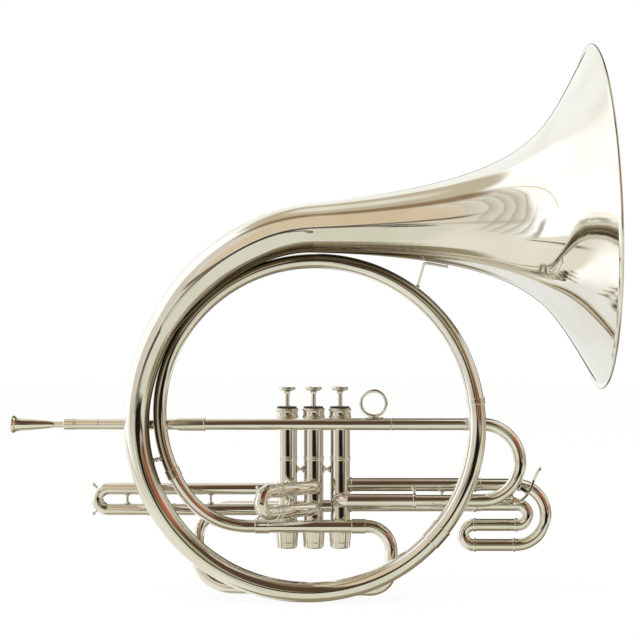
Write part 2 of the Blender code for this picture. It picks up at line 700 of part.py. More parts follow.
def saddle(obj, places):
    """Shape the ends of a tube to the casings that it meets."""
    for i, x in enumerate(places):
        height = CASING_TOP - CASING_BOTTOM
        tool = cylinder_tool(f"{obj.name}_saddle_{i}", (x, 0, CASING_BOTTOM), Z_AXIS,
                             CASING_RADIUS + GAP, height, sides=VALVE_SIDES, up=X_AXIS)
        combine(obj, tool)


def make_mouthpiece(carrier):
    """Mouthpiece: rim, funnel cup, backbore and shank, bored right through."""
    length = MOUTHPIECE_LENGTH + SHANK_INSERTION
    rim = MOUTHPIECE_RIM_RADIUS
    outside = [(rim - 0.6 * MM, 0.0), (rim, 0.7 * MM), (rim, 3.0 * MM), (rim - 1.6 * MM, 4.6 * MM),
               (6.2 * MM, 8.0 * MM), (5.6 * MM, 16.0 * MM), (4.7 * MM, 25.0 * MM), (4.0 * MM, 34.0 * MM),
               (SHANK_RADIUS + 0.15 * MM, 40.0 * MM), (SHANK_RADIUS, MOUTHPIECE_LENGTH),
               (SHANK_RADIUS - 0.25 * MM, length)]
    inside = [(2.3 * MM, length), (1.7 * MM, 30.0 * MM), (2.6 * MM, 22.0 * MM), (5.2 * MM, 6.0 * MM),
              (rim - 2.1 * MM, 0.7 * MM), (rim - 1.4 * MM, 0.0)]
    start = (RECEIVER_START - MOUTHPIECE_LENGTH, FRONT_Y, LEADPIPE_Z)
    bm = bmesh.new()
    add_turned(bm, outside + inside, place_along(start, X_AXIS), closed=True)
    add_piece("mouthpiece", bm, "nickel_plate", carrier)


def leadpipe_radius(x):
    """Outside radius of the leadpipe at a place along it."""
    return np.interp(x, (RECEIVER_START, TUNING_OUTER_START), (LEADPIPE_START_RADIUS, LEADPIPE_END_RADIUS))


def make_leadpipe():
    """Receiver with its collar and ring, the tapered leadpipe and the sleeve round it."""
    bore = SHANK_RADIUS + RUNNING
    outer = LEADPIPE_START_RADIUS
    collar = outer + 0.6 * MM
    ring = (8.4 * MM, 11.0 * MM)
    profile = [(bore, 0.0), (collar, 0.0), (collar, 2.4 * MM), (outer, 3.0 * MM), (outer, ring[0]),
               (collar, ring[0]), (collar, ring[1]), (outer, ring[1]), (outer, RECEIVER_LENGTH),
               (bore, RECEIVER_LENGTH)]
    bm = bmesh.new()
    add_turned(bm, profile, place_along((RECEIVER_START, FRONT_Y, LEADPIPE_Z), X_AXIS), closed=True)
    add_piece("mouthpiece_receiver", bm)
    ends = np.array((RECEIVER_END + GAP, TUNING_OUTER_START - GAP))
    radii = leadpipe_radius(ends)
    bm = bmesh.new()
    add_tube(bm, along(*ends, y=FRONT_Y, z=LEADPIPE_Z), radii, radii - LEADPIPE_WALL, up=Z_AXIS)
    add_piece("leadpipe", bm)
    ends = (SLEEVE_START, SLEEVE_START + SLEEVE_LENGTH)
    inner = leadpipe_radius(ends) + GAP
    bm = bmesh.new()
    add_tube(bm, along(*ends, y=FRONT_Y, z=LEADPIPE_Z), inner + SLEEVE_WALL, inner, up=Z_AXIS)
    add_piece("leadpipe_sleeve", bm)


def make_tuning_slide(carrier):
    """Main tuning slide: fixed outer tube, return tube with its elbow, and the D-shaped bow on its legs."""
    outer = LEADPIPE_END_RADIUS
    bore = outer - LEADPIPE_WALL
    bm = bmesh.new()
    path = along(TUNING_OUTER_START, TUNING_OUTER_END, y=FRONT_Y, z=LEADPIPE_Z)
    add_tube(bm, path, outer, bore, up=Z_AXIS)
    add_piece("tuning_slide_outer_tube", bm)
    x = VALVE_X[2]
    ring = RETURN_TUBE_END - FERRULE_LENGTH
    elbow = routed([(x, -CASING_BORE / 2, INLET_Z), (x, FRONT_Y, INLET_Z), (ring, FRONT_Y, INLET_Z)],
                   [RETURN_ELBOW_BEND])
    return_bore = RETURN_TUBE_RADIUS - RETURN_TUBE_WALL
    bm = bmesh.new()
    add_tube(bm, *joined((elbow, RETURN_TUBE_RADIUS, return_bore),
                         (along(ring, RETURN_TUBE_END, y=FRONT_Y, z=INLET_Z),
                          RETURN_TUBE_RADIUS + FERRULE_WALL, return_bore)), up=Z_AXIS)
    saddle(add_piece("return_tube", bm), VALVE_X[2:])
    start = TUNING_OUTER_END + GAP
    far = TUNING_BEND_X + TUNING_BEND_RADIUS
    bend = routed([(start, FRONT_Y, LEADPIPE_Z), (far, FRONT_Y, LEADPIPE_Z), (far, FRONT_Y, INLET_Z),
                   (start, FRONT_Y, INLET_Z)], [TUNING_BEND_RADIUS] * 2)
    upper = bore - RUNNING
    lower = return_bore - RUNNING
    bores = np.linspace(upper - INNER_WALL, lower - INNER_WALL, len(bend[0]))
    bm = bmesh.new()
    add_tube(bm, *joined((along(TUNING_OUTER_END - TUNING_INSERTION, start, y=FRONT_Y, z=LEADPIPE_Z),
                          upper, upper - INNER_WALL),
                         (bend, TUNING_BOW_RADIUS, bores),
                         (along(start, RETURN_TUBE_END - LOWER_LEG_INSERTION, y=FRONT_Y, z=INLET_Z),
                          lower, lower - INNER_WALL)))
    add_piece("tuning_slide_bow", bm, "nickel_plate", carrier)


def add_nub(bm, centre, way, start):
    """A small turned pull nub that stands on a bow."""
    neck = NUB_RADIUS * 0.62
    reach = start + NUB_REACH
    add_turned(bm, [(0.0, start - 1.0 * MM), (neck, start - 1.0 * MM), (neck, reach - 2.2 * MM),
                    (NUB_RADIUS, reach - 1.6 * MM), (NUB_RADIUS, reach - 0.6 * MM), (0.0, reach)],
               place_along(centre, way, Y_AXIS), sides=8)


def make_first_slide(carrier):
    """First valve slide: two long tubes to the left, and the bow on its legs."""
    bore = FIRST_RADIUS - SLIDE_WALL
    ring = FIRST_OUTER_END + FERRULE_LENGTH
    near = VALVE_X[0] - CASING_BORE / 2
    tubes = []
    for i, height in enumerate((FIRST_TOP_Z, FIRST_BOTTOM_Z)):
        bm = bmesh.new()
        add_tube(bm, *joined((along(near, ring, z=height), FIRST_RADIUS, bore),
                             (along(ring, FIRST_OUTER_END, z=height), FIRST_RADIUS + FERRULE_WALL, bore)),
                 up=Z_AXIS)
        make = add_cutter if tubes else add_piece
        tubes.append(make("first_slide_lower_tool" if tubes else "first_slide_outer_tubes", bm))
    join_tubes(tubes, FIRST_FIXED_STAY_X, FIRST_TOP_Z, FIRST_BOTTOM_Z, FIRST_RADIUS)
    saddle(tubes[0], VALVE_X[:1])
    start = FIRST_OUTER_END - GAP
    spread = (FIRST_TOP_Z - FIRST_BOTTOM_Z) / 2
    far = FIRST_BEND_X - spread
    bend = routed([(start, 0, FIRST_TOP_Z), (far, 0, FIRST_TOP_Z), (far, 0, FIRST_BOTTOM_Z),
                   (start, 0, FIRST_BOTTOM_Z)], [spread] * 2)
    leg = bore - RUNNING
    leg_end = FIRST_OUTER_END + FIRST_INSERTION
    bm = bmesh.new()
    add_tube(bm, *joined((along(leg_end, start, z=FIRST_TOP_Z), leg, leg - INNER_WALL),
                         (bend, FIRST_RADIUS, leg - INNER_WALL),
                         (along(start, leg_end, z=FIRST_BOTTOM_Z), leg, leg - INNER_WALL)))
    bow = add_piece("first_slide_bow", bm, "nickel_plate", carrier)
    middle = (FIRST_BEND_X, 0.0, (FIRST_TOP_Z + FIRST_BOTTOM_Z) / 2)
    for i, side in enumerate((1, -1)):
        bm = bmesh.new()
        add_nub(bm, middle, (-1.0, 0.0, side), spread + FIRST_RADIUS)
        combine(bow, add_cutter(f"first_nub_tool_{i}", bm), "UNION")
    seat = FIRST_RADIUS - STAY_BITE
    fuse_stay(bow, "first_stay_tool", (FIRST_STAY_X, 0, FIRST_TOP_Z), (FIRST_STAY_X, 0, FIRST_BOTTOM_Z),
              seat, seat)


def join_tubes(tubes, x, top, bottom, radius):
    """Braze the lower of two parallel tubes to the upper one by a stay between them."""
    seat = radius - STAY_BITE
    fuse_stay(tubes[0], tubes[1].name + "_stay", (x, 0, top), (x, 0, bottom), seat, seat)
    combine(tubes[0], tubes[1], "UNION")


def second_leg_end(height):
    """Where an outer tube of the second slide ends."""
    corner = np.array((VALVE_X[1], -(CASING_RADIUS + SECOND_ELBOW_REACH), height))
    return corner, corner + SECOND_WAY * SECOND_LEG


def make_second_slide(carrier):
    """Second valve slide: elbows on the front of the middle casing, and a short bow that points forwards."""
    bore = SECOND_RADIUS - SLIDE_WALL
    heights = (SECOND_TOP_Z, SECOND_BOTTOM_Z)
    tubes = []
    for height in heights:
        corner, end = second_leg_end(height)
        ring = end - SECOND_WAY * FERRULE_LENGTH
        elbow = routed([(VALVE_X[1], -CASING_BORE / 2, height), corner, ring], [SECOND_ELBOW_BEND])
        bm = bmesh.new()
        add_tube(bm, *joined((elbow, SECOND_RADIUS, bore),
                             (straight(ring, end), SECOND_RADIUS + FERRULE_WALL, bore)), up=Z_AXIS)
        make = add_cutter if tubes else add_piece
        tubes.append(make("second_slide_lower_tool" if tubes else "second_slide_outer_tubes", bm))
    seat = SECOND_RADIUS - STAY_BITE
    middles = [second_leg_end(height)[1] - SECOND_WAY * SECOND_LEG / 3 for height in heights]
    fuse_stay(tubes[0], "second_slide_stay_tool", middles[0], middles[1], seat, seat)
    combine(tubes[0], tubes[1], "UNION")
    saddle(tubes[0], VALVE_X[1:2])
    spread = (SECOND_TOP_Z - SECOND_BOTTOM_Z) / 2
    starts = [second_leg_end(height)[1] + SECOND_WAY * GAP for height in heights]
    fars = [start + SECOND_WAY * (SECOND_BOW_LEG + spread) for start in starts]
    legs = [start - SECOND_WAY * SECOND_INSERTION for start in starts]
    bend = routed([starts[0], fars[0], fars[1], starts[1]], [spread] * 2)
    leg = bore - RUNNING
    bm = bmesh.new()
    add_tube(bm, *joined((straight(legs[0], starts[0]), leg, leg - INNER_WALL),
                         (bend, SECOND_RADIUS, leg - INNER_WALL),
                         (straight(starts[1], legs[1]), leg, leg - INNER_WALL)),
             up=np.cross(Z_AXIS, SECOND_WAY))
    bow = add_piece("second_slide_bow", bm, "nickel_plate", carrier)
    middle = (starts[0] + starts[1]) / 2 + SECOND_WAY * SECOND_BOW_LEG
    for i, side in enumerate((1, -1)):
        bm = bmesh.new()
        add_nub(bm, middle, SECOND_WAY + Z_AXIS * side, spread + SECOND_RADIUS)
        combine(bow, add_cutter(f"second_nub_tool_{i}", bm), "UNION")


def third_wrap_heights():
    """Heights of the two runs that the wrap adds below the legs, one leg spacing apart."""
    spacing = THIRD_TOP_Z - THIRD_BOTTOM_Z
    return THIRD_BOTTOM_Z - spacing, THIRD_BOTTOM_Z - 2 * spacing


def make_third_slide(carrier):
    """Third valve slide: two tubes to the right, and the wrap that folds back below them."""
    bore = THIRD_RADIUS - SLIDE_WALL
    ring = THIRD_OUTER_END - FERRULE_LENGTH
    near = VALVE_X[2] + CASING_BORE / 2
    tubes = []
    for height in (THIRD_TOP_Z, THIRD_BOTTOM_Z):
        bm = bmesh.new()
        add_tube(bm, *joined((along(near, ring, z=height), THIRD_RADIUS, bore),
                             (along(ring, THIRD_OUTER_END, z=height), THIRD_RADIUS + FERRULE_WALL, bore)),
                 up=Z_AXIS)
        make = add_cutter if tubes else add_piece
        tubes.append(make("third_slide_lower_tool" if tubes else "third_slide_outer_tubes", bm))
    join_tubes(tubes, THIRD_FIXED_STAY_X, THIRD_TOP_Z, THIRD_BOTTOM_Z, THIRD_RADIUS)
    x = RETURN_TUBE_END - FERRULE_LENGTH / 2
    fuse_stay(tubes[0], "third_slant_stay_tool", (x, 0, THIRD_TOP_Z), (x, FRONT_Y, INLET_Z),
              THIRD_RADIUS - STAY_BITE, RETURN_TUBE_RADIUS + FERRULE_WALL + GAP)
    saddle(tubes[0], VALVE_X[2:])
    start = THIRD_OUTER_END + GAP
    inner_run, outer_run = third_wrap_heights()
    small = (THIRD_TOP_Z - THIRD_BOTTOM_Z) / 2
    big = (THIRD_TOP_Z - outer_run) / 2
    near = THIRD_SMALL_BEND_X + small
    far = THIRD_SMALL_BEND_X + big - 1.8 * MM
    left = THIRD_LEFT_BEND_X - small
    corners = [(start, 0, THIRD_TOP_Z), (far, 0, THIRD_TOP_Z), (far, 0, outer_run), (left, 0, outer_run),
               (left, 0, inner_run), (near, 0, inner_run), (near, 0, THIRD_BOTTOM_Z),
               (start, 0, THIRD_BOTTOM_Z)]
    bend = routed(corners, [big, big, small, small, small, small])
    leg = bore - RUNNING
    leg_end = THIRD_OUTER_END - THIRD_INSERTION
    runs = [(along(leg_end, start, z=THIRD_TOP_Z), leg, leg - INNER_WALL)]
    runs += banded(bend, THIRD_WRAP_RADIUS, leg - INNER_WALL, (inner_run, outer_run))
    runs += [(along(start, leg_end, z=THIRD_BOTTOM_Z), leg, leg - INNER_WALL)]
    bm = bmesh.new()
    add_tube(bm, *joined(*runs))
    add_piece("third_slide_wrap", bm, "nickel_plate", carrier)


def banded(path, radius, bore, heights):
    """The runs of a bent tube, with a ferrule band at both ends of the straights at the given heights."""
    points, ways = path
    runs = []
    for start, end, near, far in zip(points, points[1:], ways, ways[1:]):
        piece = (np.array((start, end)), np.array((near, far)))
        flat = abs(start[2] - end[2]) < GAP and min(abs(start[2] - height) for height in heights) < GAP
        if flat and np.linalg.norm(end - start) > 4 * FERRULE_LENGTH:
            marks = (start, start + near * FERRULE_LENGTH, end - near * FERRULE_LENGTH, end)
            proud = radius + FERRULE_WALL
            runs += [(straight(a, b), r, bore) for a, b, r in zip(marks, marks[1:], (proud, radius, proud))]
        else:
            runs.append((piece, radius, bore))
    return runs


def socketed(path, radii, bores, before, socket, length):
    """A tube whose start carries a ferrule: it steps out over the tube before it, which ends there.

    The ferrule reaches back over the other tube by half its length, clear of it by the gap, and
    covers this tube by the other half. The point before lies on the other tube's centre line.
    """
    points, ways = path
    start, way = points[0], ways[0]
    outer = socket + GAP + FERRULE_WALL
    chord = unit(start - np.asarray(before))
    back = (np.array((start - chord * length / 2, start)), np.array((chord, way)))
    share = length / 2 / np.linalg.norm(points[1] - points[0])
    turn = unit(ways[0] * (1 - share) + ways[1] * share)
    cover = points[0] * (1 - share) + points[1] * share
    front = (np.array((start, cover)), np.array((way, turn)))
    rest = (np.concatenate(([cover], points[1:])), np.concatenate(([turn], ways[1:])))
    cover_radius = radii[0] * (1 - share) + radii[1] * share
    cover_bore = bores[0] * (1 - share) + bores[1] * share
    rest_radii = np.concatenate(([cover_radius], radii[1:]))
    rest_bores = np.concatenate(([cover_bore], bores[1:]))
    return joined((back, outer, socket + GAP),
                  (front, outer, np.array((bores[0], cover_bore))),
                  (rest, rest_radii, rest_bores))


def make_loop():
    """Loop from the back of the first valve, down behind the coil and up to the bottom tube."""
    room = BOTTOM_TUBE_Z - LOOP_BOTTOM_Z
    right_bottom = min(LOOP_RIGHT_BOTTOM_BEND, 0.4 * room)
    right_top = min(LOOP_RIGHT_TOP_BEND, 0.5 * room)
    x = VALVE_X[0]
    corners = [(x, CASING_BORE / 2, EXIT_Z), (x, LOOP_REAR_Y, EXIT_Z), (LOOP_LEFT_X, LOOP_REAR_Y, EXIT_Z),
               (LOOP_LEFT_X, LOOP_FALL_Y, LOOP_BOTTOM_Z), (LOOP_RIGHT_X, FRONT_Y, LOOP_BOTTOM_Z),
               (LOOP_RIGHT_X, FRONT_Y, BOTTOM_TUBE_Z), (BOTTOM_TUBE_RIGHT + GAP, FRONT_Y, BOTTOM_TUBE_Z)]
    path = routed(corners, [LOOP_ELBOW_BEND, LOOP_LEFT_TOP_BEND, LOOP_LEFT_BOTTOM_BEND,
                            right_bottom, right_top])
    bm = bmesh.new()
    add_tube(bm, path, LOOP_RADIUS, LOOP_RADIUS - LOOP_WALL, up=Z_AXIS, carried=True)
    saddle(add_piece("exit_loop", bm), VALVE_X[:1])
    path = along(BOTTOM_TUBE_RIGHT, BOTTOM_TUBE_LEFT, y=FRONT_Y, z=BOTTOM_TUBE_Z)
    radii = np.full(2, LOOP_RADIUS)
    bm = bmesh.new()
    before = (LOOP_RIGHT_X, FRONT_Y, BOTTOM_TUBE_Z)
    add_tube(bm, *socketed(path, radii, radii - LOOP_WALL, before, LOOP_RADIUS, SLEEVE_JOINT))
    add_piece("bottom_tube", bm)


def make_coil():
    """The coil's three branches and the tail of the bell: tapering tubes that start with a ferrule."""
    start = (BOTTOM_TUBE_LEFT - GAP, FRONT_Y, BOTTOM_TUBE_Z)
    points, ways, _ = coil_path(COIL_START, COIL_START + COIL_STEP)
    run = straight(start, np.asarray(start) - X_AXIS * SLEEVE_JOINT)
    curve = eased(run[0][1], -X_AXIS, points[0] - ways[0] * GAP, ways[0], BRANCH_HANDLES, 7)
    path = (np.concatenate((run[0][:1], curve[0])), np.concatenate((run[1][:1], curve[1])))
    radii = np.linspace(LOOP_RADIUS, coil_tube_radius(COIL_START), len(path[0]))
    bm = bmesh.new()
    before = np.asarray(start) + X_AXIS * SLEEVE_JOINT
    add_tube(bm, *socketed(path, radii, radii - COIL_WALL, before, LOOP_RADIUS, SLEEVE_JOINT))
    add_piece("coil_first_branch", bm)
    before = path[0][-2]
    for name, low, high, ferrule in (("coil_second_branch", COIL_START, SECOND_BRANCH_END, 9.0 * MM),
                                     ("coil_third_branch", SECOND_BRANCH_END, THIRD_BRANCH_END, 6.0 * MM)):
        points, ways, turns = coil_path(low, high)
        radii = coil_tube_radius(turns)
        bm = bmesh.new()
        path = trimmed((points, ways), 0.0, GAP)
        add_tube(bm, *socketed(path, radii, radii - COIL_WALL, before, coil_tube_radius(low), ferrule))
        add_piece(name, bm)
        before = points[-2]
    points, ways, turns = coil_path(THIRD_BRANCH_END, COIL_END)
    origin, way = bell_axis()
    tail, tail_ways = eased(points[-1], ways[-1], origin, way, TAIL_HANDLES, TAIL_STEPS)
    shares = np.linspace(0.0, 1.0, TAIL_STEPS + 1) ** TAIL_EASE
    start_radius = coil_tube_radius(COIL_END)
    tail_radii = start_radius + (flare_radius(BELL_LENGTH) - start_radius) * shares
    radii = np.concatenate((coil_tube_radius(turns), tail_radii[1:]))
    path = (np.concatenate((points, tail[1:])), np.concatenate((ways, tail_ways[1:])))
    bm = bmesh.new()
    add_tube(bm, *socketed(trimmed(path, 0.0, GAP), radii, radii - COIL_WALL, before,
                           coil_tube_radius(THIRD_BRANCH_END), TAIL_FERRULE))
    add_piece("bell_tail", bm)


def make_bell():
    """The bell: a thin flare after a horn law, its edge rolled over a wire to a bead with a flat front."""
    shares = np.linspace(0.0, 1.0, BELL_STATIONS) ** 1.7
    depths = BELL_LENGTH + (BEAD_DEPTH - BELL_LENGTH) * (1 - shares[::-1])
    radii = np.array([flare_radius(depth) for depth in depths])
    outside = list(zip(radii, -depths))
    slopes = np.gradient(radii, -depths)
    stretch = np.sqrt(1 + slopes ** 2)
    inside_radii = radii - BELL_WALL / stretch
    inside_depths = depths - BELL_WALL * slopes / stretch
    inside = list(zip(inside_radii, -inside_depths))
    inside[0] = (radii[0] - BELL_WALL, -depths[0])
    rim = BELL_RADIUS
    root = rim - BEAD_WIDTH
    bead = [(root, -0.8 * BEAD_DEPTH), (root + 0.4 * BEAD_WIDTH, -BEAD_DEPTH),
            (rim - 0.4 * MM, -0.85 * BEAD_DEPTH), (rim, -0.5 * BEAD_DEPTH),
            (rim - 0.4 * MM, -0.15 * BEAD_DEPTH),
            (rim - 0.55 * BEAD_WIDTH + BEAD_FLAT / 2, 0.0), (rim - 0.55 * BEAD_WIDTH - BEAD_FLAT / 2, 0.0),
            (rim - 1.4 * BEAD_WIDTH, -0.35 * BEAD_DEPTH)]
    origin, way = bell_axis()
    bm = bmesh.new()
    add_turned(bm, outside + bead + inside[::-1], place_along(origin + way * BELL_LENGTH, way),
               sides=BELL_SIDES, closed=True)
    add_piece("bell", bm)


def make_limb_stay():
    """Stay with a ball at its middle, between the inner and the outer limb of the coil."""
    turns = (LIMB_STAY_TURN, LIMB_STAY_TURN + 360.0)
    inner = coil_chord_point(turns[0], COIL_START, SECOND_BRANCH_END)
    outer = coil_chord_point(turns[1], THIRD_BRANCH_END, COIL_END)
    bm = bmesh.new()
    add_stay(bm, inner, outer, coil_tube_radius(turns[0]) + GAP, coil_tube_radius(turns[1]) + GAP,
             ball=1.9 * MM)
    add_piece("coil_limb_stay", bm)


def make_bell_brace():
    """Wire brace: a foot laid along the underside of the bell, then down to the coil."""
    origin, way = bell_axis()
    bend_x = BELL_BRACE_X + (COIL_RADIUS - 157.0 * MM) * math.cos(math.radians(BELL_BRACE_TURN))
    foot = []
    for x in (bend_x + BELL_BRACE_LENGTH, bend_x):
        depth = BELL_LENGTH - (x - BELL_START_X)
        slope = math.atan((flare_radius(depth - MM) - flare_radius(depth + MM)) / (2 * MM))
        drop = flare_radius(depth) + (BELL_BRACE_WIRE + GAP) / math.cos(slope)
        foot.append(origin + way * (x - BELL_START_X) - Z_AXIS * drop)
    limb = coil_chord_point(BELL_BRACE_TURN, COIL_START, SECOND_BRANCH_END)
    way_down = unit(limb - foot[1])
    reach = np.linalg.norm(limb - foot[1]) - coil_tube_radius(BELL_BRACE_TURN) - GAP - BELL_BRACE_WIRE
    path = routed([foot[0], foot[1], foot[1] + way_down * reach], [BELL_BRACE_BEND])
    bm = bmesh.new()
    add_tube(bm, path, BELL_BRACE_WIRE, sides=8)
    add_piece("bell_brace", bm)


def make_pinky_ring():
    """Ring for the little finger, on a foot that sits on the leadpipe."""
    seat = LEADPIPE_Z + leadpipe_radius(PINKY_RING_X) + GAP
    length, width, height = PINKY_FOOT
    bm = bmesh.new()
    add_box(bm, (PINKY_RING_X, FRONT_Y, seat + height / 2 - 1.2 * MM), (length, width, height))
    foot = add_piece("pinky_ring", bm)
    centre = np.array((PINKY_RING_X, FRONT_Y, seat + height - 1.2 * MM + PINKY_RING_RADIUS))
    angles = np.linspace(0.0, 2 * math.pi, 21)[:-1]
    bm = bmesh.new()
    profile = [(PINKY_RING_RADIUS + PINKY_WIRE * math.cos(a), PINKY_WIRE * math.sin(a)) for a in angles[::3]]
    add_turned(bm, profile, place_along(centre, Y_AXIS), sides=20, closed=True)
    combine(foot, add_cutter("pinky_ring_tool", bm), "UNION")
    start = (PINKY_RING_X - length, FRONT_Y, LEADPIPE_Z)
    pipe = leadpipe_radius(PINKY_RING_X + length) + GAP
    combine(foot, cylinder_tool("pinky_foot_tool", start, X_AXIS, pipe / math.cos(math.pi / TUBE_SIDES),
                                2 * length, up=Z_AXIS))


def key_spot(angle, reach):
    """A point beside the bow of the main tuning slide, by its angle and distance from the bend's centre."""
    centre = np.array((TUNING_BEND_X, FRONT_Y, TUNING_BEND_Z))
    return centre + reach * np.array((math.cos(angle), 0.0, math.sin(angle)))


def key_ray(angle):
    """The outward direction at an angle round the bow."""
    return np.array((math.cos(angle), 0.0, math.sin(angle)))


def make_water_key(slide, key):
    """Water key: spout and saddle on the bow, and the lever with its cork on a pin."""
    surface = TUNING_BEND_RADIUS + TUNING_BOW_RADIUS
    pad_way = key_ray(KEY_PAD_ANGLE)
    spout_start = surface + GAP
    bm = bmesh.new()
    add_turned(bm, [(0.9 * MM, spout_start), (KEY_SPOUT_RADIUS, spout_start),
                    (KEY_SPOUT_RADIUS - 0.5 * MM, spout_start + KEY_SPOUT_HEIGHT),
                    (0.9 * MM, spout_start + KEY_SPOUT_HEIGHT)],
               place_along(key_spot(0.0, 0.0), pad_way, Y_AXIS), sides=10, closed=True)
    add_piece("water_key_spout", bm, "nickel_plate", slide)
    cork_start = spout_start + KEY_SPOUT_HEIGHT + GAP
    bm = bmesh.new()
    add_turned(bm, [(0.0, cork_start), (KEY_CORK_RADIUS, cork_start),
                    (KEY_CORK_RADIUS, cork_start + KEY_CORK_HEIGHT), (0.0, cork_start + KEY_CORK_HEIGHT)],
               place_along(key_spot(0.0, 0.0), pad_way, Y_AXIS), sides=10)
    add_piece("water_key_cork", bm, "cork", key)
    make_key_lever(key, cork_start + KEY_CORK_HEIGHT + GAP)
    make_key_saddle(slide, surface + GAP)


def make_key_lever(key, pad_reach):
    """The lever: a strip from the pad plate over the pivot to the touch, curved like the bow."""
    pivot = key_spot(KEY_PIVOT_ANGLE, KEY_PIVOT_REACH)
    pad = key_spot(KEY_PAD_ANGLE, pad_reach + KEY_LEVER_THICKNESS / 2)
    tip = key_spot(KEY_TIP_ANGLE, KEY_TIP_REACH)
    half = KEY_LEVER_THICKNESS / 2
    knee = key_spot((KEY_PIVOT_ANGLE + KEY_TIP_ANGLE) / 2, KEY_PIVOT_REACH + 1.0 * MM)
    lift = key_ray(KEY_PIVOT_ANGLE) * (KEY_COIL_RADIUS + KEY_COIL_WIRE + GAP + half)
    spots = [pad - unit(pivot - pad) * KEY_CORK_RADIUS, pad, pivot + lift, knee, tip]
    widths = [KEY_CORK_RADIUS * 1.6, KEY_CORK_RADIUS * 2, KEY_LEVER_WIDTH, KEY_LEVER_WIDTH,
              KEY_LEVER_WIDTH * 1.2]
    bm = bmesh.new()
    rings = []
    for i, (spot, width) in enumerate(zip(spots, widths)):
        ahead = spots[min(i + 1, len(spots) - 1)]
        behind = spots[max(i - 1, 0)]
        out = np.cross(Y_AXIS, unit(ahead - behind)) * half
        out = -out if out @ key_ray(KEY_PIVOT_ANGLE) < 0 else out
        side = Y_AXIS * width / 2
        corners = (spot + out + side, spot + out - side, spot - out - side, spot - out + side)
        rings.append([bm.verts.new(corner) for corner in corners])
    for near, far in zip(rings, rings[1:]):
        add_band(bm, near, far)
    bm.faces.new(rings[0])
    bm.faces.new(rings[-1])
    lever = add_piece("water_key_lever", bm, "nickel_plate", key)
    out = key_ray(KEY_PIVOT_ANGLE)
    frame = place_along(pivot, out, Y_AXIS)
    lug = KEY_PIN_RADIUS + GAP + 0.9 * MM
    rise = KEY_COIL_RADIUS + KEY_COIL_WIRE + GAP + half
    for i, side in enumerate((1, -1)):
        bm = bmesh.new()
        add_box(bm, (side * (KEY_LEVER_WIDTH - KEY_LUG) / 2, 0.0, (rise - lug) / 2),
                (KEY_LUG, 2 * lug, rise + lug), frame)
        combine(lever, add_cutter(f"key_lug_tool_{i}", bm), "UNION")
    reach = KEY_LEVER_WIDTH
    combine(lever, cylinder_tool("lug_hole_tool", pivot - Y_AXIS * reach, Y_AXIS, KEY_PIN_RADIUS + GAP,
                                 2 * reach, sides=8, up=out))


def make_key_saddle(slide, seat):
    """The saddle: two cheeks on the bow that hold the pin, with the key's spring coiled round it."""
    pivot = key_spot(KEY_PIVOT_ANGLE, KEY_PIVOT_REACH)
    out = key_ray(KEY_PIVOT_ANGLE)
    frame = place_along(key_spot(0.0, 0.0), out, Y_AXIS)
    inner = KEY_LEVER_WIDTH / 2 + GAP
    top = KEY_PIVOT_REACH + 1.8 * MM
    low = seat
    bm = bmesh.new()
    base = [(inner + KEY_CHEEK, low), (inner + KEY_CHEEK, top), (inner, top), (inner, low + 1.2 * MM),
            (-inner, low + 1.2 * MM), (-inner, top), (-inner - KEY_CHEEK, top), (-inner - KEY_CHEEK, low)]
    half = 2.2 * MM
    sides = [[bm.verts.new(frame @ Vector((y, x, z))) for y, z in base] for x in (-half, half)]
    add_band(bm, sides[0], sides[1])
    bm.faces.new(sides[0])
    bm.faces.new(sides[1])
    saddle_piece = add_piece("water_key_saddle", bm, "nickel_plate", slide)
    reach = inner + KEY_CHEEK + 0.6 * MM
    combine(saddle_piece, cylinder_tool("pin_hole_tool", pivot - Y_AXIS * 2 * reach, Y_AXIS,
                                        KEY_PIN_RADIUS + GAP, 4 * reach, sides=8, up=out))
    bm = bmesh.new()
    add_tube(bm, straight(pivot - Y_AXIS * reach, pivot + Y_AXIS * reach), KEY_PIN_RADIUS, sides=8, up=out)
    add_piece("water_key_pin", bm, "spring_steel", slide)
    turns = np.linspace(0.0, KEY_COIL_CURLS, KEY_COIL_CURLS * 9 + 1)
    angles = 2 * math.pi * turns
    side = unit(np.cross(Y_AXIS, out))
    span = np.linspace(-1.0, 1.0, len(turns)) * (KEY_LEVER_WIDTH / 2 - KEY_LUG - KEY_COIL_WIRE - GAP)
    points = pivot + KEY_COIL_RADIUS * (np.cos(angles)[:, None] * out + np.sin(angles)[:, None] * side)
    points = points + span[:, None] * Y_AXIS
    slopes = np.gradient(points, axis=0)
    pitch = (span[-1] - span[0]) / KEY_COIL_CURLS
    print("water key spring: gap between curls", round((pitch - 2 * KEY_COIL_WIRE) / MM, 2), "mm")
    bm = bmesh.new()
    path = (points, slopes / np.linalg.norm(slopes, axis=1)[:, None])
    add_tube(bm, path, KEY_COIL_WIRE, sides=6, up=Y_AXIS)
    add_piece("water_key_spring", bm, "spring_steel", slide)


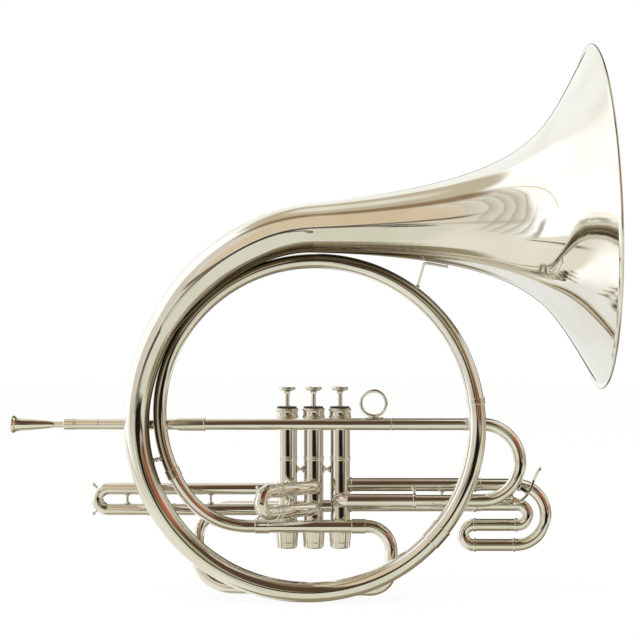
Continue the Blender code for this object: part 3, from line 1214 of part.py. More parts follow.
def main():
    """Build every piece on its carrier."""
    clear_scene()
    for number, x in enumerate(VALVE_X, start=1):
        carrier = add_empty(f"valve_{number}_axis", (x, 0, 0))
        make_casing(number, x)
        make_caps(number, x)
        make_piston(number, x, carrier)
        make_stem_and_button(number, x, carrier)
        make_valve_spring(number, x)
        make_valve_trim(number, x)
    make_block()
    make_mouthpiece(add_empty("mouthpiece_axis", (RECEIVER_START, FRONT_Y, LEADPIPE_Z)))
    make_leadpipe()
    tuning = add_empty("tuning_slide_axis", (TUNING_OUTER_END, FRONT_Y, LEADPIPE_Z))
    make_tuning_slide(tuning)
    make_water_key(tuning, add_empty("water_key_axis", tuple(key_spot(KEY_PIVOT_ANGLE, KEY_PIVOT_REACH))))
    make_first_slide(add_empty("first_slide_axis", (FIRST_OUTER_END, 0, FIRST_TOP_Z)))
    make_second_slide(add_empty("second_slide_axis", tuple(second_leg_end(SECOND_TOP_Z)[1])))
    make_third_slide(add_empty("third_slide_axis", (THIRD_OUTER_END, 0, THIRD_TOP_Z)))
    make_loop()
    make_coil()
    make_bell()
    make_limb_stay()
    make_bell_brace()
    make_pinky_ring()


main()
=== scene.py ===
# %% [markdown]
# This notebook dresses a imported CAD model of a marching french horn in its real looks. The horn is
# nickel-plated brass: one long tube that starts at the mouthpiece, passes three piston valves, winds
# a little more than once round a big coil and opens into a bell. The CAD model has the right sizes and
# joints but few facets. Here each piece is laid again along the same line, as a smooth surface.

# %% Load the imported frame
import json
import math

import bmesh
import bpy
import numpy as np
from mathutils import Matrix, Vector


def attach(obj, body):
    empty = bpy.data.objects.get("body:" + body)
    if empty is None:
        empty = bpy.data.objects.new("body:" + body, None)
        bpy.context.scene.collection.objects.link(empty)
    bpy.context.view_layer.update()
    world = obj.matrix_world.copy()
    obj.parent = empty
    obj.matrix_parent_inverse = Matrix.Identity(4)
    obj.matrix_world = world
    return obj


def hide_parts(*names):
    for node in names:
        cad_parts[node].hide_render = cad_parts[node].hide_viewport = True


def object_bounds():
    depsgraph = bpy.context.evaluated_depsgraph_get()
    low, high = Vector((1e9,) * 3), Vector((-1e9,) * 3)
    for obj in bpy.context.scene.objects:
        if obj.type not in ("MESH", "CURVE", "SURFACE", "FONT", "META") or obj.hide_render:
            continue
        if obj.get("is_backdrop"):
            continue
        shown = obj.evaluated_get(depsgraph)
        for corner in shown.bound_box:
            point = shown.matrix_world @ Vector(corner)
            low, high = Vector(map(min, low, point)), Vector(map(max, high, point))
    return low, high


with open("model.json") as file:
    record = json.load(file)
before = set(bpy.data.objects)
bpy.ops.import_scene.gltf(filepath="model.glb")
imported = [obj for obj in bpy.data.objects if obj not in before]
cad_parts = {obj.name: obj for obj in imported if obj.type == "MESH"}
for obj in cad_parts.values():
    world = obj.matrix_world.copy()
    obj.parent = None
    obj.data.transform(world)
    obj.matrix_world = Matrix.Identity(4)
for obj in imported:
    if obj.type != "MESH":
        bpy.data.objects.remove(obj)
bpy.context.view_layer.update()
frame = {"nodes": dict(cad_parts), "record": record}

print("nodes in the frame:", len(frame["nodes"]))

# %% [markdown]
# Blender counts in metres, but a horn maker thinks in millimetres. Every size below is in
# millimetres, and one factor turns it to metres when a mesh is made. Colours are written as sRGB
# hex codes, as a paint chart gives them, and one function turns them to the linear values that
# the renderer works in.

# %% Units, axes and colours
MM = 0.001
X_AXIS, Y_AXIS, Z_AXIS = np.eye(3)


def linear(code):
    """The linear RGBA of an sRGB hex code: below 0.04045 a share of 12.92, above it a power of 2.4."""
    share = np.array([int(code[i:i + 2], 16) for i in (0, 2, 4)]) / 255
    low, high = share / 12.92, ((share + 0.055) / 1.055) ** 2.4
    return (*np.where(share <= 0.04045, low, high), 1.0)


print("nickel in linear light:", np.round(linear("F0EDE6"), 3))

# %% [markdown]
# The photograph was taken from nearly two metres away, level with a point a little above the
# leadpipe, and looks straight along +Y. A long lens keeps the coil round. The camera is made first,
# because every later choice is judged through it.

# %% Camera
CAMERA_PLACE = (6.17 * MM, -1736 * MM, 147.7 * MM)
FOCAL_PIXELS = 1857
PICTURE_PIXELS = 640
SENSOR = 36.0


def add_camera():
    """A level camera whose focal length is the sensor width times the focal pixels over the picture's."""
    data = bpy.data.cameras.new("camera")
    data.sensor_width = SENSOR
    data.lens = SENSOR * FOCAL_PIXELS / PICTURE_PIXELS
    data.clip_start, data.clip_end = 0.05, 60.0
    camera = bpy.data.objects.new("camera", data)
    camera.location = CAMERA_PLACE
    camera.rotation_euler = (math.radians(90), 0, 0)
    bpy.context.scene.collection.objects.link(camera)
    bpy.context.scene.camera = camera
    return camera


print("lens of", round(add_camera().data.lens, 1), "mm")

# %% [markdown]
# A material in Blender is a graph of nodes. Adding one takes four lines, so a helper does it: it
# makes the node, gives its settings, and fills or links its sockets by name. A socket that is given
# an output of another node is linked, and any other value is written in.

# %% Helpers for nodes


def node(tree, kind, settings=None, **sockets):
    """Add a node, set its own settings, and fill or link its sockets; i0 means the first socket."""
    made = tree.nodes.new(kind)
    for name, value in (settings or {}).items():
        setattr(made, name, value)
    for name, value in sockets.items():
        by_number = name[0] == "i" and name[1:].isdigit()
        socket = made.inputs[int(name[1:])] if by_number else made.inputs[name.replace("_", " ")]
        if isinstance(value, bpy.types.NodeSocket):
            tree.links.new(value, socket)
        else:
            socket.default_value = value
    return made


def new_material(name):
    """An empty material with its output node, its shader and the object's own coordinates."""
    material = bpy.data.materials.new(name)
    material.use_nodes = True
    tree = material.node_tree
    tree.nodes.clear()
    shader = node(tree, "ShaderNodeBsdfPrincipled")
    node(tree, "ShaderNodeOutputMaterial", Surface=shader.outputs[0])
    place = node(tree, "ShaderNodeTexCoord").outputs["Object"]
    return material, tree, shader, place


def noise(tree, place, size, detail=2.0, roughness=0.5, stretch=None):
    """Noise whose blotches are about size millimetres wide, stretched along an axis if asked."""
    if stretch is not None:
        place = node(tree, "ShaderNodeMapping", Vector=place, Scale=stretch).outputs[0]
    return node(tree, "ShaderNodeTexNoise", Vector=place, Scale=1 / (size * MM), Detail=detail,
                Roughness=roughness).outputs[0]


def ramp(tree, value, low, high, to_low=0.0, to_high=1.0):
    """Carry the span from low to high over to another span, with soft ends."""
    return node(tree, "ShaderNodeMapRange", {"interpolation_type": "SMOOTHSTEP"}, i0=value, i1=low,
                i2=high, i3=to_low, i4=to_high).outputs[0]


def mixed(tree, share, first, second):
    """A colour mixed from two others, each a hex code or another node's output."""
    colours = [linear(c) if isinstance(c, str) else c for c in (first, second)]
    return node(tree, "ShaderNodeMix", {"data_type": "RGBA"}, i0=share, i6=colours[0],
                i7=colours[1]).outputs[2]


def math_node(tree, operation, first, second=0.0):
    """One sum of two values."""
    return node(tree, "ShaderNodeMath", {"operation": operation}, i0=first, i1=second).outputs[0]


print("node helpers ready")

# %% [markdown]
# Nickel plate on buffed brass is nearly a mirror, a little warmer than chrome. What tells it from a
# perfect mirror are faint things: the tube under the plate is never quite true, so reflected edges
# wander a little; buffing leaves hairlines too fine to count; and hands leave a soft haze. Each is
# one noise at its real size, and it feeds the bump or the roughness, never a picture. Where two
# tubes lie close, less light falls, and a brown painted shade darkens the colour: a piece whose points
# carry the shade attribute shows as much of it as the attribute says. The mouthpiece's silver plate is made
# alike, but whiter.

# %% Nickel and silver plate
# the brown of the painted shade, mixed in where two tubes lie close and little light falls
PAINTED_SHADE = "7A6C54"
# millimetres between changes of tint, hand marks, hairlines and waves
TINT_SPAN, HAND_SPAN, HAIR_SPAN, WAVE_SPAN = 45.0, 28.0, 1.4, 16.0


def make_plate(name, tint="F0EDE6", shade="EAE6DC", gloss=0.04, haze=0.09, wave=0.03):
    """Buffed plate: a slow tint, hand haze in the roughness, hairlines and a faint waviness."""
    material, tree, shader, place = new_material(name)
    slow = noise(tree, place, TINT_SPAN, 1.0)
    shader.inputs["Metallic"].default_value = 1.0
    unshaded_tint = mixed(tree, ramp(tree, slow, 0.35, 0.65), tint, shade)
    # painted shade between close tubes: the point attribute mixes the brown into the base colour
    painted_shade = node(tree, "ShaderNodeAttribute", {"attribute_name": "painted_shade"}).outputs["Fac"]
    tree.links.new(mixed(tree, painted_shade, unshaded_tint, PAINTED_SHADE), shader.inputs["Base Color"])
    hands = ramp(tree, noise(tree, place, HAND_SPAN, 4.0, 0.6), 0.5, 0.75, 0.0, haze - gloss)
    hairs = ramp(tree, noise(tree, place, HAIR_SPAN, 2.0, 0.7, (1.0, 6.0, 6.0)), 0.45, 0.8, 0.0, 0.03)
    rough = math_node(tree, "ADD", math_node(tree, "ADD", hands, hairs), gloss)
    tree.links.new(rough, shader.inputs["Roughness"])
    wander = node(tree, "ShaderNodeBump", Height=noise(tree, place, WAVE_SPAN, 1.0), Strength=1.0,
                  Distance=wave * MM)
    hair_bump = node(tree, "ShaderNodeBump", Height=hairs, Strength=0.35, Distance=0.02 * MM,
                     Normal=wander.outputs[0])
    tree.links.new(hair_bump.outputs[0], shader.inputs["Normal"])
    return material


NICKEL = make_plate("nickel_plate_buffed")
NICKEL_WORN = make_plate("nickel_plate_handled", "EBE7DE", "DFDACD", 0.06, 0.15)
SILVER = make_plate("silver_plate_burnished", "FDFCF8", "F6F3EC", 0.03, 0.08)
print("made", NICKEL.name, NICKEL_WORN.name, "and", SILVER.name)

# %% [markdown]
# The other finishes are small but each has its own making. Pistons are lapped from a nickel-copper
# alloy, so they carry fine rings round their axis. Guides are sawn brass. Springs are drawn wire.
# Felt is pressed wool, matt and fibrous, and cork shows dark pores. The table's keys are the names
# that the CAD model gives its finishes. The one that it leaves out is the pistons' alloy.

# %% Lapped alloy, brass, wire, felt and cork


def make_metal(name, tint, shade, roughness, grain, stretch):
    """A bare worked metal: streaks of grain millimetres apart move both its tint and its roughness."""
    material, tree, shader, place = new_material(name)
    streaks = noise(tree, place, grain, 3.0, 0.6, stretch)
    shader.inputs["Metallic"].default_value = 1.0
    tree.links.new(mixed(tree, ramp(tree, streaks, 0.3, 0.7), tint, shade), shader.inputs["Base Color"])
    tree.links.new(ramp(tree, streaks, 0.3, 0.8, roughness, roughness + 0.12), shader.inputs["Roughness"])
    bump = node(tree, "ShaderNodeBump", Height=streaks, Strength=0.4, Distance=0.02 * MM)
    tree.links.new(bump.outputs[0], shader.inputs["Normal"])
    return material


def make_felt():
    """Pressed black wool felt: fibres a third of a millimetre apart lift the surface and its sheen."""
    material, tree, shader, place = new_material("wool_felt_pressed")
    fibres = noise(tree, place, 0.35, 4.0, 0.7)
    wool = mixed(tree, ramp(tree, fibres, 0.35, 0.75), "141413", "2E2D2A")
    tree.links.new(wool, shader.inputs["Base Color"])
    shader.inputs["Roughness"].default_value = 0.95
    shader.inputs["Sheen Weight"].default_value = 0.35
    bump = node(tree, "ShaderNodeBump", Height=fibres, Strength=0.9, Distance=0.25 * MM)
    tree.links.new(bump.outputs[0], shader.inputs["Normal"])
    return material


def make_cork():
    """Natural cork: tan grain with dark pores about half a millimetre wide."""
    material, tree, shader, place = new_material("cork_natural")
    grain = noise(tree, place, 0.8, 3.0, 0.6)
    pores = ramp(tree, noise(tree, place, 0.5, 1.0), 0.62, 0.7)
    body = mixed(tree, ramp(tree, grain, 0.35, 0.7), "B28A5A", "8C6238")
    tree.links.new(mixed(tree, pores, body, "4A2E1A"), shader.inputs["Base Color"])
    shader.inputs["Roughness"].default_value = 0.85
    bump = node(tree, "ShaderNodeBump", Height=pores, Strength=0.6, Distance=-0.15 * MM)
    tree.links.new(bump.outputs[0], shader.inputs["Normal"])
    return material


ALLOY = make_metal("nickel_alloy_lapped", "A9A59B", "8E8A80", 0.2, 1.2, (0.2, 0.2, 6.0))
BRASS = make_metal("brass_sawn", "CFA764", "A9813F", 0.28, 0.8, (0.3, 4.0, 4.0))
WIRE = make_metal("spring_wire_drawn", "A6A6A4", "7F7F7D", 0.25, 0.7, (1.0, 1.0, 4.0))
FELT = make_felt()
CORK = make_cork()
FINISH = {"nickel_plate": NICKEL, "bare_brass": BRASS, "spring_steel": WIRE, "felt": FELT, "cork": CORK}
print("finishes:", ALLOY.name, *(material.name for material in FINISH.values()))

# %% [markdown]
# Every tube is the same idea: a line through space, and a silhouette carried along it. The line is
# straight runs joined by round bends, as a bending machine leaves them. It is kept as three arrays:
# points, directions, and the tube's outside radius at each point.

# %% Lines through space
BEND_DEGREES = 3.0
SAME_POINT = 1e-3


def unit(vector):
    """A vector, or each row of an array of them, at length one."""
    vector = np.asarray(vector, float)
    return vector / np.linalg.norm(vector, axis=-1, keepdims=True)


def with_radii(points, ways, radii):
    """A line with a radius at each of its points."""
    return np.asarray(points, float), unit(ways), np.broadcast_to(radii, len(points)).astype(float)


def straight(start, end, radii=0.0):
    """One straight run."""
    way = unit(np.subtract(end, start))
    return with_radii((start, end), (way, way), radii)


def routed(corners, bends, radii=0.0):
    """Straight runs joined by round bends.

    Each bend is an arc of a circle that touches both runs: its centre lies bend inwards, and a point
    turned by an angle is the centre plus bend times (sine along the way in, minus cosine inwards).
    """
    corners = [np.asarray(corner, float) for corner in corners]
    points, ways = [corners[:1]], [unit(corners[1] - corners[0])[None]]
    for before, corner, after, bend in zip(corners, corners[1:], corners[2:], bends):
        way_in, way_out = unit(corner - before), unit(after - corner)
        turn = math.acos(float(np.clip(way_in @ way_out, -1.0, 1.0)))
        inward = np.cross(unit(np.cross(way_in, way_out)), way_in)
        centre = corner - way_in * bend * math.tan(turn / 2) + inward * bend
        a = np.linspace(0.0, turn, max(3, math.ceil(math.degrees(turn) / BEND_DEGREES)) + 1)[:, None]
        points.append(centre + bend * (way_in * np.sin(a) - inward * np.cos(a)))
        ways.append(way_in * np.cos(a) + inward * np.sin(a))
    points, ways = np.concatenate((*points, corners[-1:])), np.concatenate((*ways, ways[-1][-1:]))
    kept = np.concatenate(([True], np.linalg.norm(np.diff(points, axis=0), axis=1) > SAME_POINT))
    points, ways = points[kept], ways[kept]
    return with_radii(points, ways, radii)


print("a quarter bend of 35 mm has", len(routed([(0, 0, 0), (50, 0, 0), (50, 0, 50)], [35])[0]), "points")

# %% [markdown]
# Where a tube swings freely from one place to another, a maker bends it by eye. A cubic curve does
# the same here. Lines can also be laid end to end, and read off at any distance along them.

# %% Free curves, chains and distances


def eased(start, start_way, end, end_way, handles, steps=24):
    """A cubic curve between two points, pulled out along the direction at each end by its handle."""
    start, end = np.asarray(start, float), np.asarray(end, float)
    out, into = start + handles[0] * np.asarray(start_way), end - handles[1] * np.asarray(end_way)
    s = np.linspace(0.0, 1.0, steps + 1)[:, None]
    points = (1 - s) ** 3 * start + 3 * s * (1 - s) ** 2 * out + 3 * s ** 2 * (1 - s) * into + s ** 3 * end
    ways = (1 - s) ** 2 * (out - start) + 2 * s * (1 - s) * (into - out) + s ** 2 * (end - into)
    return points, unit(ways)


def distances(points):
    """How far along the line each point lies."""
    return np.concatenate(([0.0], np.cumsum(np.linalg.norm(np.diff(points, axis=0), axis=1))))


def chained(*lines):
    """Lines laid end to end, with repeated points left out."""
    points, ways, radii = (np.concatenate(part) for part in zip(*lines))
    kept = np.concatenate(([True], np.linalg.norm(np.diff(points, axis=0), axis=1) > SAME_POINT))
    return points[kept], ways[kept], radii[kept]


def at_distance(line, wanted):
    """Points, directions and radii at any distances; past an end the line runs straight on."""
    points, ways, radii = line
    s = distances(points)
    over = wanted - np.clip(wanted, s[0], s[-1])
    place = np.stack([np.interp(wanted, s, points[:, i]) for i in range(3)], axis=-1)
    way = unit(np.stack([np.interp(wanted, s, ways[:, i]) for i in range(3)], axis=-1))
    return place + over[:, None] * way, way, np.interp(wanted, s, radii)


print("10 mm along a straight run:", at_distance(straight((0, 0, 0), (50, 0, 0)), np.array([10.0]))[0])

# %% [markdown]
# The silhouette is a closed outline of (distance along, height off the tube's radius): out along the
# outer skin, over each ferrule, and back along the bore. Real edges are never knife-sharp, so
# each corner is rounded by a small curve, which is also what catches the light. Extra points go in
# beside the corners, so that smooth shading stays flat between them.

# %% Corners and rows of a silhouette
EDGE, SUPPORT, CUT_SHARE = 0.25, 0.35, 0.45


def rounded(corners, radius=EDGE, closed=True, arc=4):
    """Replace each corner by a quadratic curve between points radius before and after it."""
    here = np.asarray(corners, float)
    kept = np.linalg.norm(here - np.roll(here, 1, axis=0), axis=1) > 1e-9
    kept |= (np.arange(len(here)) == 0) & (not closed)
    here, radius = here[kept], np.broadcast_to(radius, len(here))[kept]
    before, after = np.roll(here, 1, axis=0) - here, np.roll(here, -1, axis=0) - here
    reach_before, reach_after = np.linalg.norm(before, axis=1), np.linalg.norm(after, axis=1)
    cut = np.minimum(radius, CUT_SHARE * np.minimum(reach_before, reach_after))
    if not closed:
        cut = cut * (np.arange(len(here)) % (len(here) - 1) != 0)
    start = here + before / reach_before[:, None] * cut[:, None]
    end = here + after / reach_after[:, None] * cut[:, None]
    t = np.linspace(0.0, 1.0, arc + 1)[None, :, None]
    curve = (1 - t) ** 2 * start[:, None] + 2 * t * (1 - t) * here[:, None] + t ** 2 * end[:, None]
    if closed:
        return curve.reshape(-1, 2)
    return np.concatenate((here[:1], curve[1:-1].reshape(-1, 2), here[-1:]))


def filled(outline, knots=(), closed=True, most=1e9):
    """Add the line's own knots, and points close to the corners, to each long run of an outline."""
    knots = np.asarray(knots, float)
    following = np.roll(outline, -1, axis=0) if closed else outline[1:]
    parts = []
    for near, far in zip(outline, following):
        run, length = far - near, np.linalg.norm(far - near)
        shares = np.array([0.0])
        if length > 3 * SUPPORT:
            edge = SUPPORT / length
            shares = np.concatenate((shares, [edge, 1 - edge], np.arange(1, length // most) * most / length))
            if abs(run[0]) > 0.5 * length:
                inner = (knots - near[0]) / run[0]
                shares = np.concatenate((shares, inner[(inner > 1.5 * edge) & (inner < 1 - 1.5 * edge)]))
            shares = np.unique(np.round(shares, 6))
        parts.append(near + shares[:, None] * run)
    if not closed:
        parts.append(outline[-1:])
    return np.concatenate(parts)


print("a square with rounded corners has", len(rounded([(0, 0), (9, 0), (9, 9), (0, 9)])), "points")

# %% [markdown]
# Tubes are joined by rings and sleeves that are turned, slipped on and soldered. In a silhouette they
# are bands that stand proud of the tube. A branch's end is belled out to grip the one before, which
# makes a socket: the only place where the bore side of a silhouette steps outwards.

# %% A tube's silhouette
LIP_RISE, LIP_WIDTH = 0.12, 0.9


def pipe(length, wall, bands=(), socket=None, edge=EDGE, ends=(0.0, 0.0), last_edge=EDGE):
    """Corners of a tube's silhouette: bands are (start, end, how proud); a socket is (reach, play, proud).

    A socket grips the tube before: it starts reach before the line does, with play inside it, and has
    a lip at each end. A last_edge below EDGE leaves the far end sharp, for a joint that is brazed flush.
    """
    top = []
    if socket:
        reach, play, proud = socket
        lip, sleeve = proud + LIP_RISE, reach - LIP_WIDTH
        corners = [(0.0, -wall), (0.0, play), (-reach, play), (-reach, lip), (-reach + LIP_WIDTH, lip),
                   (-reach + LIP_WIDTH, proud), (sleeve, proud), (sleeve, lip), (reach, lip), (reach, 0.0)]
    else:
        corners = [(ends[0], -wall)]
        top = [(ends[0], 0.0)] if not bands or bands[0][0] > ends[0] else []
    for start, stop, proud in bands:
        top += [(start, 0.0), (start, proud), (stop, proud), (stop, 0.0)]
    last = length + ends[1]
    top += [(last, 0.0), (last, -wall)] if not bands or bands[-1][1] < last else [(last, -wall)]
    corners += top
    if last_edge < EDGE:
        corners.insert(-2, (last - 3 * last_edge, 0.0))
    edges = np.full(len(corners), edge)
    edges[-2:] = last_edge
    return rounded(corners, edges)


def ferrule(start, stop, proud=0.6, lip=0.3, width=1.1):
    """A ferrule as three bands: a raised lip at each end and the plain sleeve between them."""
    return [(start, start + width, proud + lip), (start + width, stop - width, proud),
            (stop - width, stop, proud + lip)]


print("a ferrule's bands:", ferrule(0, 13))

# %% [markdown]
# Sweeping puts a ring of points at every point of the silhouette. The ring stands square to the
# line there, and its zero angle points as near to a chosen up as it can. All rings are worked out at
# once as one array of rows by sides. The mesh is then the quads between neighbours, with the row
# after the last one being the first again when the silhouette closes on itself. A tube that ends on
# a valve casing is cut to the casing's curve, as a maker files it before soldering.

# %% Sweeping and turning
TUBE_SIDES = 64
PORT_REACH, COLLAR_REACH = 9.1, 9.0


def swept(line, outline, sides=TUBE_SIDES, up=Y_AXIS):
    """Rings along a line: place + (radius + height) * (cosine across + sine over)."""
    place, way, radius = at_distance(line, outline[:, 0])
    across = unit(up - (way @ up)[:, None] * way)
    over = np.cross(way, across)
    angle = np.linspace(0.0, 2 * math.pi, sides, endpoint=False)
    ring = np.cos(angle)[None, :, None] * across[:, None] + np.sin(angle)[None, :, None] * over[:, None]
    return place[:, None] + (radius + outline[:, 1])[:, None, None] * ring


def turned(start, way, corners, sides=TUBE_SIDES, edge=EDGE, closed=True, up=Y_AXIS, most=3.0, arc=4):
    """A lathe piece: its silhouette in (distance along the axis, radius), spun round the axis."""
    outline = filled(rounded(corners, edge, closed, arc), closed=closed, most=most)
    start = np.asarray(start, float)
    return swept(straight(start, start + unit(way)), outline, sides, up)


def tube(line, wall, sides=TUBE_SIDES, up=Y_AXIS, most=1e9, **silhouette):
    """A tube along a line, with its bore and its bands, and rings at most so far apart."""
    points = line[0]
    outline = pipe(distances(points)[-1], wall, **silhouette)
    return swept(line, filled(outline, distances(points), most=most), sides, up)


def seated(grid, x, way):
    """Push points inside a casing out to its skin along a way, so that a tube's end hugs it.

    The push is the root of (reach along the way squared, less how far inside the squared radius the
    point is), less the reach along the way.
    """
    flat = (grid - np.array((x, 0.0, 0.0)))[..., :2]
    ahead = flat @ way[:2]
    inside = np.einsum("...i,...i", flat, flat) - PORT_REACH ** 2
    push = -ahead + np.sqrt(np.maximum(ahead ** 2 - inside, 0.0))
    return np.where((inside < 0)[..., None], grid + push[..., None] * way, grid)


def collar(place, way, radius, width=1.3, slope=0.7):
    """The ring that is soldered on where a tube meets a casing, seated on the casing's skin."""
    corners = [(0.0, radius), (0.0, radius + 0.8), (width, radius + 0.8), (width + slope, radius + 0.1)]
    return seated(turned(place, way, corners, up=Z_AXIS), place[0] - COLLAR_REACH * way[0], way)


print("a tube 100 mm long has a grid of", tube(straight((0, 0, 0), (100, 0, 0), 6), 0.5, up=Z_AXIS).shape)

# %% [markdown]
# A piece is one mesh of one or more grids. Points that coincide are merged, which turns the rings of
# radius zero into poles, and open ends are closed. Then it says what the frame needs to know: the
# body that it rides on, its finish, and which CAD nodes it stands for.

# %% From grids to a piece
MERGE_DISTANCE, NO_LENGTH = 1e-6, 1e-7


def quads(rows, columns, closed):
    """Corner numbers of the quads of a grid that wraps round its columns, and round its rows if closed."""
    r = np.arange(rows if closed else rows - 1)[:, None]
    c = np.arange(columns)[None, :]
    after, beside = (r + 1) % rows * columns, (c + 1) % columns
    corners = (r * columns + c, r * columns + beside, after + beside, after + c)
    return np.stack(np.broadcast_arrays(*corners), axis=-1).reshape(-1, 4)


def add_piece(name, grids, body="root", slot="nickel_plate", replaces=(), material=None, closed=True):
    """One object from its grids: poles merged, faces outward, smooth, riding on its body."""
    vertices, faces, count = [], [], 0
    for grid in grids:
        rows, columns = grid.shape[:2]
        faces.append(quads(rows, columns, closed) + count)
        vertices.append(grid.reshape(-1, 3) * MM)
        count += rows * columns
    mesh = bpy.data.meshes.new(name)
    mesh.from_pydata(np.concatenate(vertices), [], np.concatenate(faces))
    bm = bmesh.new()
    bm.from_mesh(mesh)
    bmesh.ops.remove_doubles(bm, verts=bm.verts, dist=MERGE_DISTANCE)
    bmesh.ops.dissolve_degenerate(bm, edges=bm.edges, dist=NO_LENGTH)
    loose = [edge for edge in bm.edges if edge.is_boundary]
    if loose:
        bmesh.ops.holes_fill(bm, edges=loose, sides=0)
    bmesh.ops.recalc_face_normals(bm, faces=bm.faces)
    bm.to_mesh(mesh)
    bm.free()
    mesh.shade_smooth()
    mesh.materials.append(material or FINISH[slot])
    obj = bpy.data.objects.new(name, mesh)
    bpy.context.scene.collection.objects.link(obj)
    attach(obj, body)
    if replaces:
        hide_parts(*replaces)
    return obj


print("a grid of 4 by 6 that closes has", len(quads(4, 6, True)), "quads")

# %% [markdown]
# The bell is spun from sheet brass over a mandrel. Its flare follows a horn law deep inside, a
# constant over a power of the depth, and near the rim it turns outwards ever faster. The edge is
# rolled over a wire, which leaves a bead with a nearly flat front. One silhouette holds it all:
# outer skin, bead and inner skin. Where the bell is brazed to its tail it swells by half a
# millimetre, and two rows of points close to that joint keep the polish running across it.

# %% Bell
BELL_RADIUS, BELL_LENGTH, BELL_WALL = 157.0, 258.0, 0.8
BELL_START = np.array((0.0, -40.0, 231.9))
BELL_TILT = math.radians(2.2)
BELL_WAY = np.array((math.cos(BELL_TILT), 0.0, math.sin(BELL_TILT)))
LAW_OFFSET, LAW_POWER, LAW_END, LAW_RADIUS, RIM_SLOPE = 36.0, 1.035, 51.0, 78.0, 1.8
BEAD_WIDTH, BEAD_DEPTH, BEAD_ARC, BEAD_POINTS = 2.7, 2.9, (-150.0, 130.0), 26
BELL_SIDES, BELL_ROWS, ROWS_TO_RIM = 192, 110, 1.25
START_SWELL, SWELL_LENGTH = 0.6, 60.0
BRAZED = (0.02, 0.06)


def flare(depth):
    """Outside radius at a depth behind the rim.

    From the law's end inwards it is a constant over (depth + offset) to a power. Before that, a cubic
    carries on from the law's radius and slope to the rim's radius and slope.
    """
    deep = LAW_RADIUS * ((LAW_END + LAW_OFFSET) / (np.maximum(depth, LAW_END) + LAW_OFFSET)) ** LAW_POWER
    slope = LAW_POWER * LAW_RADIUS / (LAW_END + LAW_OFFSET)
    s = 1 - np.minimum(depth, LAW_END) / LAW_END
    lip = ((1 - 3 * s ** 2 + 2 * s ** 3) * LAW_RADIUS + s * (1 - s) ** 2 * slope * LAW_END
           + (3 * s ** 2 - 2 * s ** 3) * BELL_RADIUS + s ** 2 * (s - 1) * RIM_SLOPE * LAW_END)
    return np.where(depth >= LAW_END, deep, lip)


def bell_radius(depth):
    """The flare with a slight swell at its start, where it is brazed to the tail."""
    return flare(depth) + START_SWELL * np.clip((depth - BELL_LENGTH) / SWELL_LENGTH + 1, 0.0, None) ** 2


def bell_silhouette():
    """Outer skin, rolled bead and inner skin as (distance along the axis, radius)."""
    shares = np.linspace(0.0, 1.0, BELL_ROWS) ** ROWS_TO_RIM
    depth = BELL_LENGTH + (BEAD_DEPTH - BELL_LENGTH) * (1 - shares[::-1])
    radius = bell_radius(depth)
    slope = np.gradient(radius, -depth)
    lean = np.sqrt(1 + slope ** 2)
    outside = np.stack((BELL_LENGTH - depth, radius), axis=1)
    inside = np.stack((BELL_LENGTH - depth + BELL_WALL * slope / lean, radius - BELL_WALL / lean), axis=1)
    brazed = np.array(((0.0, radius[0] - BELL_WALL), (0.0, radius[0] - BRAZED[0]), (BRAZED[0], radius[0]),
                       (BRAZED[1], radius[0] + BRAZED[1] * slope[0])))
    outside = np.concatenate((brazed, outside[1:]))
    inside = inside[1:]
    middle = np.array((BELL_LENGTH - BEAD_DEPTH / 2, BELL_RADIUS - BEAD_WIDTH / 2))
    a = np.radians(np.linspace(*BEAD_ARC, BEAD_POINTS))[::-1]
    bead = middle + np.stack((BEAD_DEPTH / 2 * np.sin(a), BEAD_WIDTH / 2 * np.cos(a)), axis=1)
    bead = bead[bead[:, 0] < BELL_LENGTH]
    inside = inside[inside[:, 0] < BELL_LENGTH - BELL_WALL]
    outside = outside[outside[:, 1] < BELL_RADIUS - BEAD_WIDTH * 0.75]
    return np.concatenate((outside, bead, inside[::-1]))


def make_bell():
    """The bell as one spun shell."""
    line = straight(BELL_START, BELL_START + BELL_WAY)
    grid = swept(line, bell_silhouette(), BELL_SIDES, Z_AXIS)
    return add_piece("bell_flare", [grid], replaces=["bell"])


print("bell rim", round(2 * float(flare(np.array(0.0)))), "mm across")
bell_piece = make_bell()
print("the bell has", len(bell_piece.data.vertices), "points")

# %% [markdown]
# The coil is the heart of the horn. Its centre line is a circle whose distance from the centre
# shrinks along the inner turn, so that the turns lie beside each other, and rises at the
# end towards the bell. The tube grows all the way, because the bore of a horn is a cone. Its lowest
# part is pressed in by under a millimetre, so that the smooth tube is no bigger than the CAD's.

# %% The coil's centre line
COIL_X, COIL_Z, COIL_RADIUS = -6.7, 51.3, 157.0
COIL_TURNS = np.array((-200.0, -180.0, -90.0, 0.0, 90.0, 180.0, 215.0))
COIL_DEPTHS = np.array((-27.5, -29.3, -30.0, -32.4, -34.9, -36.5, -39.8))
BORE_TURNS = np.array((-200.0, -90.0, -8.0, 0.0, 40.0, 90.0, 180.0, 215.0))
BORE_RADII = np.array((6.15, 6.75, 7.9, 8.2, 8.7, 9.3, 11.7, 13.1))
COIL_WALL, COIL_STEP = 0.7, 2.0
# turn where each starts, degrees it takes, millimetres it reaches, power
DROP_FROM, DROP_SPAN, DROP_DEPTH, DROP_POWER = -30.0, 170.0, 27.1, 1.35
RISE_FROM, RISE_SPAN, RISE_HEIGHT, RISE_POWER = 190.0, 80.0, 25.6, 1.72
SWAY, SWAY_RATE = 1.9, 1.5
SOLE_TURN, SOLE_DEPTH = 90.0, 0.85
NEARBY = np.linspace(-15.0, 15.0, 7)


